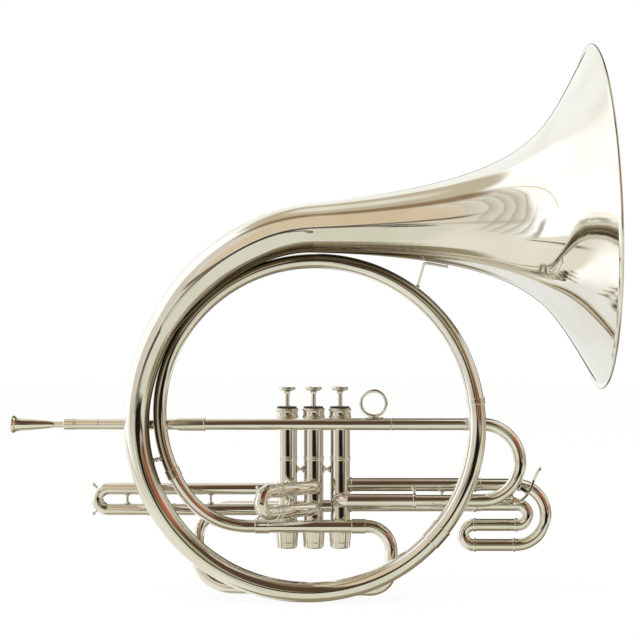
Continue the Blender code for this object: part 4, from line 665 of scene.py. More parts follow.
def coil_distance(turn):
    """Distance from the coil's centre.

    The coil's radius, less an eased drop on the inner turn, plus a small cosine sway and a rise at the
    end: the drop and the rise are each a share of their span, to a power.
    """
    drop = np.clip((DROP_FROM - turn) / DROP_SPAN, 0.0, None)
    settled = np.clip(turn, 0.0, RISE_FROM)
    sway = SWAY * (np.cos(np.radians(SWAY_RATE * settled)) - 1)
    rise = np.clip(turn - RISE_FROM, 0.0, None) / RISE_SPAN
    return COIL_RADIUS - DROP_DEPTH * drop ** DROP_POWER + sway + RISE_HEIGHT * rise ** RISE_POWER


def coil_point(turn):
    """Points of the centre line: a reach times (cosine, sine) of the turn, and a depth averaged nearby."""
    turn = np.asarray(turn, float)
    angle = np.radians(-turn)
    pressed = np.cos(np.radians(np.clip(2 * (turn - SOLE_TURN), -90.0, 90.0))) ** 2
    reach = coil_distance(turn) - SOLE_DEPTH * pressed
    near = turn[..., None] + NEARBY
    depth = np.interp(near, COIL_TURNS, COIL_DEPTHS).mean(axis=-1)
    return np.stack((COIL_X + reach * np.cos(angle), depth, COIL_Z + reach * np.sin(angle)), axis=-1)


def coil_line(start, end):
    """The centre line between two turns, a point every two degrees."""
    turns = np.linspace(start, end, max(2, math.ceil((end - start) / COIL_STEP)) + 1)
    ways = coil_point(turns + 0.2) - coil_point(turns - 0.2)
    return with_radii(coil_point(turns), ways, np.interp(turns, BORE_TURNS, BORE_RADII))


print("the coiled tube is", round(distances(coil_line(BORE_TURNS[0], BORE_TURNS[-1])[0])[-1]), "mm long")

# %% [markdown]
# Where the tail of the bell lies on the inner limb of the coil, little light falls, and a painted shade
# darkens the colour, most in the crease. It is written on the points as a number, from two things: how
# squarely a point faces the other tube, and how much room is left between the two. An attribute holds it, so
# no picture is needed.

# %% Painted shade between two tubes
# cosine of the facing, from and to; room in millimetres, from and to; the most
TAIL_FACES = ((0.3, 0.5), (7.0, 10.0), 1.0)
BELL_FACES = ((0.3, 0.6), (8.0, 34.0), 0.9)
LIMB_FACES = ((0.0, 0.5), (8.0, 26.0), 0.6)


def nearest(points, line):
    """For each point, the number of the line's closest point."""
    return np.argmin(np.linalg.norm(points[:, None, :] - line[None, :, :], axis=2), axis=1)


def smooth_step(value, low, high):
    """Zero below low, one above high, and a smooth rise between."""
    t = np.clip((value - low) / (high - low), 0.0, 1.0)
    return t * t * (3 - 2 * t)


def darken(obj, own, other, faces):
    """Mark with painted shade the side of a tube that faces another tube, where the two lie close.

    The mark is a smooth step of the cosine between a point's way out and the way to the other tube,
    times what a smooth step of the room between the two leaves of one.
    """
    spots = np.empty(len(obj.data.vertices) * 3)
    obj.data.vertices.foreach_get("co", spots)
    spots = spots.reshape(-1, 3) / MM
    here = nearest(spots, own[0])
    centres = own[0][here]
    there = nearest(centres, other[0])
    reach = other[0][there] - centres
    between = np.linalg.norm(reach, axis=1)
    out = spots - centres
    facing = np.einsum("ij,ij->i", out, reach) / between / np.maximum(np.linalg.norm(out, axis=1), 1e-6)
    room = between - own[2][here] - other[2][there]
    share = smooth_step(facing, *faces[0]) * (1 - smooth_step(room, *faces[1])) * faces[2]
    # the painted shade is stored on the points as an attribute
    obj.data.attributes.new("painted_shade", "FLOAT", "POINT").data.foreach_set("value", share)
    return float(share.max())


print("half way up a smooth step:", smooth_step(0.5, 0.0, 1.0))

# %% [markdown]
# The long tube is made of branches, each drawn down on a steel mandrel and bent while filled with
# pitch. Each starts with a ferrule: a sleeve that grips the one before, whose thin lips show as two
# fine rings. Between the coil and the bell the tail is a free curve. Its radius is a cubic that takes
# up the coil's growth at one end and the bell's flare at the other, and it sags a little on the limb.

# %% Coil branches and tail
LOOP_RADIUS, LOOP_WALL, FRONT_Y = 5.9, 0.6, -17.0
BOTTOM_Z, BOTTOM_LEFT, BOTTOM_RIGHT = -43.2, -47.0, 42.0
SOCKET_PROUD, PLAY, JOINT_GAP = 0.8, 0.35, 0.3
COIL_START, SECOND_END, THIRD_END, COIL_END = -200.0, -8.0, 40.0, 215.0
REACHES = {"coil_first_branch": 6.5, "coil_second_branch": 4.5, "coil_third_branch": 3.0, "bell_tail": 8.75}
FIRST_RUN, FIRST_HANDLES, TAIL_HANDLES = 13.0, (33.0, 33.0), (66.0, 50.0)
TAIL_GROWTH, TAIL_SAG = 0.11, 0.7


def first_line():
    """From the bottom tube's end, round a free bend, onto the coil."""
    start = np.array((BOTTOM_LEFT - JOINT_GAP, FRONT_Y, BOTTOM_Z))
    coil = coil_line(COIL_START, COIL_START + 15.0)
    run = start - X_AXIS * FIRST_RUN
    bend = eased(run, -X_AXIS, coil[0][0], coil[1][0], FIRST_HANDLES)
    points, ways, _ = chained(straight(start, run), with_radii(*bend, 0.0))
    s = distances(points)
    return points, ways, LOOP_RADIUS + (BORE_RADII[0] - LOOP_RADIUS) * s / s[-1]


def tail_line():
    """The outer turn of the coil and the free curve up to the bell."""
    outer = coil_line(THIRD_END, COIL_END)
    tail = eased(outer[0][-1], outer[1][-1], BELL_START, BELL_WAY, TAIL_HANDLES)
    run = distances(tail[0])
    t = run / run[-1]
    grown = float(bell_radius(np.array(BELL_LENGTH)))
    slope = grown - float(bell_radius(np.array(BELL_LENGTH + 1.0)))
    radii = BORE_RADII[-1] + (grown - BORE_RADII[-1]) * t * t * (3 - 2 * t)
    radii += run[-1] * t * (1 - t) * (TAIL_GROWTH * (1 - t) - slope * t)
    tail[0][:, 2] -= TAIL_SAG * np.sin(math.pi * t) ** 2
    return chained(outer, with_radii(*tail, radii))


def make_branches(lines):
    """One piece along each line; the tail's far end is brazed flush to the bell."""
    pieces = {}
    for name, line in lines.items():
        gap, edge = (0.0, BRAZED[0]) if name == "bell_tail" else (-JOINT_GAP, EDGE)
        socket = (REACHES[name], PLAY, SOCKET_PROUD)
        grid = tube(line, COIL_WALL, socket=socket, ends=(0.0, gap), last_edge=edge)
        pieces[name] = add_piece(name + "_tube", [grid], replaces=[name])
    return pieces


lines = {"coil_first_branch": first_line(), "coil_second_branch": coil_line(COIL_START, SECOND_END),
         "coil_third_branch": coil_line(SECOND_END, THIRD_END), "bell_tail": tail_line()}
branches = make_branches(lines)
limb, tail = lines["coil_second_branch"], lines["bell_tail"]
along = np.linspace(0.0, 150.0, 76)
flared = (BELL_START + along[:, None] * BELL_WAY, None, bell_radius(BELL_LENGTH - along))
above = (np.concatenate((tail[0], flared[0])), None, np.concatenate((tail[2], flared[2])))
# painted shade on the tail, the bell and the limb, where they face each other
print("tarnish on the tail", darken(branches["bell_tail"], tail, limb, TAIL_FACES))
print("on the bell", darken(bell_piece, flared, limb, BELL_FACES))
print("on the limb", darken(branches["coil_second_branch"], limb, above, LIMB_FACES))

# %% [markdown]
# From the back of the first valve a plain tube drops behind the coil, runs below it and comes up in
# front, into the straight tube that crosses the bottom caps. It is bent like the branches, but it
# doesn't grow, so straight runs and round bends are all it needs. Its end is cut to fit the casing.

# %% Exit loop and bottom tube
VALVE_X = (-24.7, 0.0, 24.7)
CASING_RADIUS, PORT = 9.25, 4.2
LOOP_LEFT, LOOP_RIGHT, LOOP_FLOOR = -108.8, 72.0, COIL_Z - COIL_RADIUS + 3.7
LOOP_Z, LOOP_BACK, LOOP_UNDER, LOOP_BENDS = -28.0, 13.0, 4.0, [8.0, 31.0, 32.0, 20.0, 23.0]
LOOP_UP, LOOP_ROWS, LOOP_CUT = unit((0.35, 0.6, 0.45)), 2.0, -40.0


def make_loop():
    """The loop behind the coil and the straight tube across the bottom caps."""
    x = VALVE_X[0]
    corners = [(x, PORT, LOOP_Z), (x, LOOP_BACK, LOOP_Z), (LOOP_LEFT, LOOP_BACK, LOOP_Z),
               (LOOP_LEFT, LOOP_UNDER, LOOP_FLOOR), (LOOP_RIGHT, FRONT_Y, LOOP_FLOOR),
               (LOOP_RIGHT, FRONT_Y, BOTTOM_Z), (BOTTOM_RIGHT + JOINT_GAP, FRONT_Y, BOTTOM_Z)]
    line = routed(corners, LOOP_BENDS, LOOP_RADIUS)
    grid = tube(line, LOOP_WALL, up=LOOP_UP, most=LOOP_ROWS)
    near = (grid[..., 0] > x - 2 * CASING_RADIUS) & (grid[..., 0] < 0) & (grid[..., 2] > LOOP_CUT)
    grid = np.where(near[..., None], seated(grid, x, Y_AXIS), grid)
    add_piece("exit_loop_tube", [grid], replaces=["exit_loop"])
    line = straight((BOTTOM_RIGHT, FRONT_Y, BOTTOM_Z), (BOTTOM_LEFT, FRONT_Y, BOTTOM_Z), LOOP_RADIUS)
    grid = tube(line, LOOP_WALL, socket=(REACHES["coil_first_branch"], PLAY, SOCKET_PROUD), up=Z_AXIS)
    add_piece("bottom_tube_run", [grid], replaces=["bottom_tube"])
    return distances(line[0])[-1]


print("the bottom tube is", round(make_loop()), "mm long")

# %% [markdown]
# The mouthpiece slips into a receiver, and behind it the leadpipe widens very slightly. Mouthpiece and
# receiver are lathe work, a silhouette spun round the pipe's axis; the pipe is drawn. The mouthpiece's
# list runs along its outside from the rim to the shank and back through the bore.

# %% Mouthpiece, receiver and leadpipe
LEAD_Z, RECEIVER_X, RECEIVER_LENGTH, MOUTHPIECE_PROUD = 51.2, -230.9, 32.0, 49.0
GUIDE_START, GUIDE_END, PIPE_WALL, SEAM = 72.0, 142.0, 0.5, 0.04
LEAD_RADII = ((RECEIVER_X, GUIDE_START), (5.05, 5.45))


def lead_radius(x):
    """Outside radius of the leadpipe."""
    return np.interp(x, *LEAD_RADII)


def lead_line(start, end):
    """A run along the leadpipe's axis."""
    return straight((start, FRONT_Y, LEAD_Z), (end, FRONT_Y, LEAD_Z), lead_radius(np.array((start, end))))


def make_mouthpiece():
    """Rim, cup, waisted outside and tapered shank, bored right through."""
    outside = [(0.0, 6.6), (0.0, 7.6), (0.9, 8.35), (2.7, 8.35), (4.2, 7.0), (5.6, 6.5), (9.0, 6.15),
               (16.0, 5.6), (25.0, 4.7), (32.0, 4.0), (38.0, 3.25), (49.0, 3.05), (69.0, 3.0)]
    inside = [(69.0, 2.3), (30.0, 1.7), (22.0, 2.6), (12.0, 4.4), (5.0, 5.6), (1.2, 6.1)]
    radii = [0.3, 0.7, 0.8, 0.8, 1.2, 1.2, 2.5, 4.0, 4.0, 3.0, 3.0, 4.0, 0.2, 0.2, 4.0, 3.0, 3.0, 2.0, 0.6]
    start = (RECEIVER_X - MOUTHPIECE_PROUD, FRONT_Y, LEAD_Z)
    grid = turned(start, X_AXIS, outside + inside, sides=96, edge=np.array(radii), arc=6)
    add_piece("mouthpiece_cup", [grid], "mouthpiece", replaces=["mouthpiece"], material=SILVER)


def make_leadpipe():
    """The receiver, whose thicker end carries one groove, and the pipe behind it."""
    proud, groove, plain, bore = 5.4, 4.95, 5.05, 3.6
    corners = [(0.0, bore), (0.0, 5.0), (0.8, proud), (9.2, proud), (9.2, groove), (9.9, groove),
               (9.9, proud), (10.8, proud), (10.8, plain), (RECEIVER_LENGTH, 5.09), (RECEIVER_LENGTH, bore)]
    grid = turned((RECEIVER_X, FRONT_Y, LEAD_Z), X_AXIS, corners)
    add_piece("receiver_sleeve", [grid], replaces=["mouthpiece_receiver"])
    line = lead_line(RECEIVER_X + RECEIVER_LENGTH + SEAM, GUIDE_START - JOINT_GAP)
    add_piece("leadpipe_run", [tube(line, PIPE_WALL, up=Z_AXIS)], replaces=["leadpipe"])


make_mouthpiece()
make_leadpipe()
print("leadpipe grows from", lead_radius(RECEIVER_X), "to", lead_radius(GUIDE_START), "mm in radius")

# %% [markdown]
# Where the coil crosses the leadpipe, a soldered sleeve strengthens it. Its left end is filed to a
# rounded tongue, so those rows are pushed along the pipe the more, the farther back they lie. At the
# other end the pipe is followed by the wider tube that the tuning slide runs in.

# %% Sleeve and guide tube
SLEEVE_START, SLEEVE_END, SLEEVE_PROUD, SLEEVE_SIDES = -133.0, -100.0, 0.9, 96
TONGUE_LENGTH, TONGUE_SPAN, TONGUE_HALF, TONGUE_POWER = 12.0, 22.0, 6.5, 0.8


def make_sleeve():
    """The sleeve, pushed along by the tongue's length times the depth across the pipe to a power."""
    length = SLEEVE_END - SLEEVE_START
    points, ways, radii = lead_line(SLEEVE_START, SLEEVE_END)
    line = (points, ways, radii + SLEEVE_PROUD)
    outline = filled(pipe(length, 0.6, bands=[(length - 1.4, length, 0.35)]), most=1.0)
    grid = swept(line, outline, SLEEVE_SIDES, Z_AXIS)
    depth = (grid[..., 1] - FRONT_Y) / TONGUE_HALF
    share = np.clip(1 - (grid[..., 0] - SLEEVE_START) / TONGUE_SPAN, 0.0, 1.0)
    grid[..., 0] += share * TONGUE_LENGTH * np.clip(depth + 1, 0, None) ** TONGUE_POWER
    add_piece("leadpipe_tongue_sleeve", [grid], replaces=["leadpipe_sleeve"])


def make_guide():
    """The tuning slide's fixed tube on the leadpipe, with a ring at each end."""
    length = GUIDE_END - GUIDE_START
    line = straight((GUIDE_START, FRONT_Y, LEAD_Z), (GUIDE_END, FRONT_Y, LEAD_Z), LEAD_RADII[1][1])
    grid = tube(line, PIPE_WALL, up=Z_AXIS, bands=[(0.0, 1.6, 0.35), (length - 1.8, length, 0.35)])
    add_piece("tuning_slide_guide_tube", [grid], replaces=["tuning_slide_outer_tube"])


make_sleeve()
make_guide()
print("the sleeve is", SLEEVE_END - SLEEVE_START, "mm long and the guide", GUIDE_END - GUIDE_START)

# %% [markdown]
# The tuning slide is a D-shaped bow whose two legs run inside fixed tubes, so pulling it lengthens
# the horn. The lower fixed tube turns into the third valve with a tight elbow. The bow is bent from
# wider tube than its legs, so that inside it the bore runs on without a step.

# %% Main tuning slide
INLET_Z, BEND_X, BEND_Z, BEND_R, BOW_RADIUS = -19.5, 155.7, 15.85, 35.35, 5.9
RETURN_END, RETURN_RADIUS, RETURN_BEND, ROW_STEP = 95.0, 6.2, 7.5, 1.2
BOW_START, BOW_BORE, UPPER_LEG, LOWER_LEG = 142.3, 4.2, (84.0, 4.6), (47.0, 5.35)


def make_tuning_slide():
    """The return tube with its elbow, and the bow with both of its inner legs."""
    x, r = VALVE_X[2], RETURN_RADIUS
    corners = [(x, -PORT, INLET_Z), (x, FRONT_Y, INLET_Z), (RETURN_END, FRONT_Y, INLET_Z)]
    line = routed(corners, [RETURN_BEND], r)
    length = distances(line[0])[-1]
    grid = tube(line, PIPE_WALL, up=Z_AXIS, most=ROW_STEP, bands=[(length - 2.6, length, 0.7)])
    near = (grid[..., 0] < x + CASING_RADIUS)[..., None]
    grid = np.where(near, seated(grid, x, -Y_AXIS), grid)
    ring = collar((x, -COLLAR_REACH, INLET_Z), -Y_AXIS, r)
    add_piece("return_tube_elbow", [grid, ring], replaces=["return_tube"])
    start, far = BOW_START, BEND_X + BEND_R
    legs = [straight((UPPER_LEG[0], FRONT_Y, LEAD_Z), (start, FRONT_Y, LEAD_Z), UPPER_LEG[1]),
            straight((start, FRONT_Y, INLET_Z), (LOWER_LEG[0], FRONT_Y, INLET_Z), LOWER_LEG[1])]
    bow = routed([(start, FRONT_Y, LEAD_Z), (far, FRONT_Y, LEAD_Z), (far, FRONT_Y, INLET_Z),
                  (start, FRONT_Y, INLET_Z)], [BEND_R, BEND_R], BOW_RADIUS)
    length = distances(bow[0])[-1]
    grids = [tube(leg, PIPE_WALL) for leg in legs]
    grids.append(tube(bow, BOW_RADIUS - BOW_BORE, bands=[(0.0, 1.4, 0.35), (length - 1.4, length, 0.35)]))
    add_piece("tuning_slide_bow_tube", grids, "tuning_slide", replaces=["tuning_slide_bow"])
    return length


print("the bow is", round(make_tuning_slide()), "mm round")

# %% [markdown]
# A water key lets out the moisture: a sprung lever holds a cork on a little spout. The lever is cut
# from strip and bent, so its shape is a rounded rectangle carried along a curve, wider at the pad and
# at the touch. The places are angles and reaches round the middle of the bow's bend.

# %% Places of the water key, and strips
PIVOT_ANGLE, PAD_ANGLE, TIP_ANGLE = math.radians(-33.0), math.radians(-49.0), math.radians(-4.6)
PIVOT_REACH, TIP_REACH = 49.0, 55.3
SPOUT_START = BEND_R + BOW_RADIUS + 0.3
CORK_START = SPOUT_START + 3.5
PAD_REACH = CORK_START + 2.5
SQUARENESS = 0.3


def key_ray(angle):
    """The outward direction at an angle round the bow."""
    return np.array((math.cos(angle), 0.0, math.sin(angle)))


def key_spot(angle, reach):
    """A point beside the bow."""
    return np.array((BEND_X, FRONT_Y, BEND_Z)) + reach * key_ray(angle)


def strip(points, widths, thickness, sides=32, steps=48):
    """A flat bar along smooth points.

    Its section is a superellipse, with cosine and sine each to the power SQUARENESS, so that its
    corners are soft. Its last rings shrink by a quarter circle, which rounds both ends.
    """
    knots = distances(np.asarray(points))
    knots = knots / knots[-1]
    s = np.linspace(0.0, 1.0, steps)
    bends = np.polynomial.polynomial.polyfit(knots, np.asarray(points), min(3, len(points) - 1))
    place = np.polynomial.polynomial.polyval(s, bends).T
    over = unit(np.cross(np.gradient(place, axis=0), Y_AXIS))
    wide = np.interp(s, knots, widths)
    reach = distances(place)
    end = np.clip(np.minimum(reach, reach[-1] - reach) / (wide / 2), 0.0, 1.0)
    shrink = np.sqrt(1 - (1 - end) ** 2)
    a = np.linspace(0.0, 2 * math.pi, sides, endpoint=False)
    side = np.sign(np.cos(a)) * np.abs(np.cos(a)) ** SQUARENESS
    rise = np.sign(np.sin(a)) * np.abs(np.sin(a)) ** SQUARENESS
    thin = thickness / 2 * np.clip(shrink * 2, 0, 1)
    return (place[:, None] + side[None, :, None] * (wide * shrink / 2)[:, None, None] * Y_AXIS
            + rise[None, :, None] * thin[:, None, None] * over[:, None])


print("the water key's pivot lies", np.round(key_spot(PIVOT_ANGLE, PIVOT_REACH), 1))

# %% [markdown]
# The moving half of the key is the lever with its pad plate, two lugs that the screw passes through,
# and the cork. The spout under the cork is a short turned tube, soldered on the bow's lowest bend.

# %% Lever, cork and spout
LEVER_WIDTHS, LEVER_THICK, LEVER_LIFT, PAD_OVERHANG = [5.4, 5.8, 5.4, 4.6, 7.2], 2.6, 3.0, 3.0
LUG_ASIDE, LUG_THICK = 2.55, 0.84


def make_lever():
    """Lever with its plate, stems and lugs, then cork and spout."""
    pivot, out, pad_way = key_spot(PIVOT_ANGLE, PIVOT_REACH), key_ray(PIVOT_ANGLE), key_ray(PAD_ANGLE)
    pad, top = key_spot(PAD_ANGLE, PAD_REACH + 0.65), pivot + out * LEVER_LIFT
    knee = key_spot((PIVOT_ANGLE + TIP_ANGLE) / 2, PIVOT_REACH + 1.6)
    foot = pad - unit(pivot - pad) * PAD_OVERHANG
    plate = [(0.0, 0.0), (0.0, 3.1), (1.3, 3.1), (1.5, 0.0)]
    grids = [strip([foot, pad, top, knee, key_spot(TIP_ANGLE, TIP_REACH)], LEVER_WIDTHS, LEVER_THICK),
             turned(key_spot(PAD_ANGLE, PAD_REACH), pad_way, plate, closed=False)]
    lug, lugs = [(0.0, 1.1), (0.0, 2.0), (LUG_THICK, 2.0), (LUG_THICK, 1.1)], []
    for side in (1, -1):
        aside = Y_AXIS * side * LUG_ASIDE
        lugs.append(turned(pivot + aside - Y_AXIS * LUG_THICK / 2, Y_AXIS, lug, up=Z_AXIS))
        grids.append(strip([pivot + out * 1.3 + aside, top + aside], [LUG_THICK, LUG_THICK], 2.4))
    add_piece("water_key_lever_arm", grids, "water_key", closed=False, replaces=["water_key_lever"])
    add_piece("water_key_lugs", lugs, "water_key")
    cork = [(0.0, 0.0), (0.0, 2.9), (2.2, 2.9), (2.2, 0.0)]
    grid = turned(key_spot(PAD_ANGLE, CORK_START), pad_way, cork, closed=False, edge=0.4)
    add_piece("water_key_cork_pad", [grid], "water_key", "cork", ["water_key_cork"], closed=False)
    spout = [(0.0, 0.9), (0.0, 2.9), (0.8, 2.6), (1.2, 2.1), (3.4, 1.8), (3.7, 1.6), (3.7, 0.9)]
    grid = turned(key_spot(PAD_ANGLE, SPOUT_START - 0.5), pad_way, spout)
    add_piece("water_key_spout_tube", [grid], "tuning_slide", replaces=["water_key_spout"])
    return distances(np.array([foot, pad, top, knee]))[-1]


print("the lever is about", round(make_lever()), "mm long up to its knee")

# %% [markdown]
# The fixed half is a saddle with two cheeks, soldered on the bow. A screw with a slim shank joins the
# halves, and a few turns of drawn wire round it press the cork shut.

# %% Saddle, screw and spring
CHEEK_ASIDE, CHEEK_THICK, CHEEK_WIDE, SADDLE_SQUEEZE = 3.9, 1.2, 4.0, 0.45
SCREW_LENGTH, SCREW_HEAD, SCREW_SHANK = 10.6, 1.25, 0.75
SPRING_TURNS, SPRING_RADIUS, SPRING_HALF, SPRING_WIRE = 4.0, 1.7, 1.3, 0.28


def make_saddle():
    """Saddle post with its cheeks, the screw, and the helix of the spring round it."""
    pivot, out = key_spot(PIVOT_ANGLE, PIVOT_REACH), key_ray(PIVOT_ANGLE)
    along = np.cross(Y_AXIS, out)
    seat = key_spot(PIVOT_ANGLE, SPOUT_START)
    post = [(0.0, 0.0), (0.0, 4.4), (1.1, 4.4), (1.7, 3.6), (1.7, 0.0)]
    base = turned(key_spot(PIVOT_ANGLE, SPOUT_START - 0.5), out, post, closed=False, edge=0.3)
    grids = [seat + (base - seat) * np.abs(1 - SADDLE_SQUEEZE * np.abs(along))]
    for side in (1, -1):
        ends = [key_spot(PIVOT_ANGLE, reach) + Y_AXIS * side * CHEEK_ASIDE
                for reach in (SPOUT_START + 0.4, PIVOT_REACH + 1.8)]
        grids.append(strip(ends, [CHEEK_THICK, CHEEK_THICK], CHEEK_WIDE))
    add_piece("water_key_saddle_post", grids, "tuning_slide", replaces=["water_key_saddle"], closed=False)
    half = [(0.0, 0.0), (0.0, SCREW_HEAD), (0.8, SCREW_HEAD), (0.8, SCREW_SHANK)]
    screw = half + [(SCREW_LENGTH - s, r) for s, r in half[::-1]]
    grid = turned(pivot - Y_AXIS * SCREW_LENGTH / 2, Y_AXIS, screw, closed=False, edge=0.2, up=Z_AXIS)
    add_piece("water_key_pin_screw", [grid], "tuning_slide", "spring_steel", ["water_key_pin"], closed=False)
    turns = np.linspace(0.0, SPRING_TURNS, 97)
    a = 2 * math.pi * turns[:, None]
    spot = pivot + SPRING_RADIUS * (np.cos(a) * out + np.sin(a) * unit(along))
    spot = spot + np.linspace(-SPRING_HALF, SPRING_HALF, len(turns))[:, None] * Y_AXIS
    line, length = with_radii(spot, np.gradient(spot, axis=0), SPRING_WIRE), distances(spot)[-1]
    outline = rounded([(0, -SPRING_WIRE), (0, 0), (length, 0), (length, -SPRING_WIRE)], 0.05, False)
    grid = swept(line, filled(outline, distances(spot), False), 10, Y_AXIS)
    add_piece("water_key_spring_coil", [grid], "tuning_slide", "spring_steel", ["water_key_spring"],
              closed=False)
    return length


print("the spring takes", round(make_saddle()), "mm of wire")

# %% [markdown]
# Each valve is all lathe work on one axis, so each piece is a silhouette of (height, radius). The
# casing is a bored tube in two lengths, joined by a ring. Caps screw on at both ends, the lower one
# with a vent in its middle, and the fingers press a dished button on a thin stem. A black felt on the
# top cap takes the knock.

# %% Silhouettes of a valve
CASING_TOP, CASING_BOTTOM, CASING_BORE, JOINT_Z, R = 62.0, -61.0, 8.45, 18.7, CASING_RADIUS
JOINT = [(JOINT_Z - 1.7, R), (JOINT_Z - 1.7, R + 0.45), (JOINT_Z - 0.4, R + 0.5), (JOINT_Z - 0.2, R + 0.15)]
CASING = [(CASING_BOTTOM, CASING_BORE), (CASING_BOTTOM, R), *JOINT,
          *[(2 * JOINT_Z - z, r) for z, r in JOINT[::-1]], (CASING_TOP, R), (CASING_TOP, CASING_BORE)]
TOP_CAP = [(56.1, 9.55), (56.1, 10.3), (56.5, 10.6), (57.9, 10.6), (58.3, 10.2), (59.5, 9.95), (61.6, 9.95),
           (62.9, 10.25), (63.2, 10.6), (64.7, 10.6), (65.35, 10.0), (65.35, 2.7), (62.3, 2.7), (62.3, 9.55)]
LOW = CASING_BOTTOM - 4.5
BOTTOM_CAP = [(CASING_BOTTOM - 0.3, 0.0), (CASING_BOTTOM - 0.3, 9.55), (-49.6, 9.55), (-49.6, 10.55),
              (-59.2, 9.85), (-59.3, 9.65), (-59.7, 9.65), (-59.8, 9.8), (LOW + 1.4, 9.5), (LOW + 0.5, 8.9),
              (LOW, 7.4), (LOW, 2.6), (LOW + 0.5, 2.3), (LOW + 0.5, 1.2), (LOW + 2.0, 1.0), (LOW + 2.0, 0.0)]
STEM = [(60.1, 0.0), (60.1, 7.3), (61.4, 7.3), (61.4, 2.35), (78.95, 2.35), (78.95, 0.0)]
BUTTON = [(79.3, 0.0), (79.3, 3.0), (80.9, 3.2), (81.6, 3.9), (82.1, 6.8), (82.6, 7.75), (84.2, 7.75),
          (85.15, 6.9), (85.0, 5.6), (84.5, 2.2), (84.4, 0.0)]
FELT_RING = [(65.5, 2.7), (65.5, 9.3), (67.0, 9.2), (67.0, 2.8)]
print("a valve stands", round(BUTTON[-1][0] - LOW, 1), "mm high")

# %% [markdown]
# The top caps are knurled for grip: a wheel with teeth is pressed into the turning cap. So the radius
# carries a small wave round the axis between two heights, and the caps need many sides to show it.

# %% Three valves
CAP_SIDES, KNURLS, KNURL_DEPTH, KNURL_INSIDE = 240, 60, 0.16, 9.6
KNURLED = ((56.45, 58.0), (63.1, 64.8))


def knurled(grid, x, low, high):
    """Draw the radius in by the depth times a squared cosine of the angle, between two heights."""
    offset = grid - np.array((x, 0.0, 0.0))
    reach = np.hypot(offset[..., 0], offset[..., 1])
    angle = np.arctan2(offset[..., 1], offset[..., 0])
    inside = (grid[..., 2] > low) & (grid[..., 2] < high) & (reach > KNURL_INSIDE)
    wave = np.where(inside, KNURL_DEPTH * np.cos(angle * KNURLS / 2) ** 2, 0.0)
    grid = grid.copy()
    grid[..., :2] = offset[..., :2] * (1 - wave / np.maximum(reach, 1.0))[..., None] + np.array((x, 0.0))
    return grid


def add_turned(kind, ending, number, corners, body="root", slot="nickel_plate", worn=False, knurls=(),
               **how):
    """One turned piece on a valve's axis, with knurls between pairs of heights."""
    x = VALVE_X[number - 1]
    grid = turned((x, 0.0, 0.0), Z_AXIS, corners, up=X_AXIS, **how)
    for low, high in knurls:
        grid = knurled(grid, x, low, high)
    add_piece(f"valve_{kind}_{number}_{ending}", [grid], body, slot, [f"valve_{kind}_{number}"],
              NICKEL_WORN if worn else None, how.get("closed", True))


for valve in (1, 2, 3):
    moving = f"valve_{valve}"
    add_turned("casing", "tube", valve, CASING, sides=96)
    add_turned("top_cap", "knurled", valve, TOP_CAP, worn=True, knurls=KNURLED, sides=CAP_SIDES, most=0.8)
    add_turned("bottom_cap", "turned", valve, BOTTOM_CAP, worn=True, sides=CAP_SIDES, edge=0.4, closed=False,
               most=0.8)
    add_turned("stem", "rod", valve, STEM, moving, closed=False, sides=48)
    add_turned("button", "dish", valve, BUTTON, moving, worn=True, sides=96, edge=0.5, closed=False,
               most=0.8)
    add_turned("felt", "ring", valve, FELT_RING, slot="felt", edge=0.5, most=0.6)
print("three valves", VALVE_X[1] - VALVE_X[0], "mm apart")

# %% [markdown]
# Short crossover tubes carry the wind from casing to casing, and turned stays keep the casings
# apart. A stay is a spool: a disc at each end, soldered on, and a slim waist. The same spool, longer,
# ties the legs of the slides.

# %% Crossovers and spools
LEANING = unit((0.3, 0.9, 0.2))
CROSSOVER_Z, CROSSOVER_RADIUS, STAY_Z = -26.2, 5.5, 8.4
STAY_HALF = [(9.15, 0.0), (9.15, 3.9), (9.7, 3.5), (11.3, 1.7), (12.35, 1.25)]


def spool(start, end, seats, foot=3.3, waist=1.25, bulge=None):
    """A turned stay between two centre lines: a disc on each, a waist, and a ball at the middle if asked."""
    start, end = np.asarray(start, float), np.asarray(end, float)
    low, high = seats[0], np.linalg.norm(end - start) - seats[1]
    disc = min(0.9, (high - low) / 6)
    middle = (low + high) / 2
    half = [(low, 0.0), (low, foot), (low + disc * 0.6, foot), (low + disc * 1.3, waist * 1.5),
            (low + disc * 2, waist)]
    if bulge:
        a = np.radians(np.linspace(-68, 0, 5))
        half += list(zip(middle + bulge * np.sin(a), bulge * np.cos(a)))
    mirror = [(2 * middle - s, r) for s, r in half[::-1]]
    corners = half + (mirror[1:] if bulge else mirror)
    return turned(start, end - start, corners, 32, edge=0.3, closed=False, up=LEANING, most=1.0)


def make_block():
    """Crossovers and stays of the valve block."""
    for number, (left, right) in enumerate(zip(VALVE_X, VALVE_X[1:]), start=1):
        line = straight((left + PORT, 0, CROSSOVER_Z), (right - PORT, 0, CROSSOVER_Z), CROSSOVER_RADIUS)
        grid = filled(pipe(distances(line[0])[-1], 0.6), most=1.0)
        grid = swept(line, grid, TUBE_SIDES, Z_AXIS)
        grid = seated(seated(grid, left, X_AXIS), right, -X_AXIS)
        add_piece(f"valve_crossover_{number}_tube", [grid], replaces=[f"valve_crossover_{number}"])
        corners = STAY_HALF + [(right - left - s, r) for s, r in STAY_HALF[::-1]]
        grid = turned((left, 0, STAY_Z), X_AXIS, corners, 48, edge=0.35, closed=False, up=Z_AXIS, most=0.5)
        add_piece(f"valve_stay_{number}_spool", [grid], replaces=[f"valve_stay_{number}"], closed=False)


make_block()
print("spools and crossovers made")

# %% [markdown]
# A valve slide is a bow that pulls out of two outer tubes. Its legs are thinner tubes, drawn to fit
# with a hair's play and hidden until it is pulled. Small turned nubs on the bow give the fingers
# something to pull, and a stay between the tubes keeps them parallel.

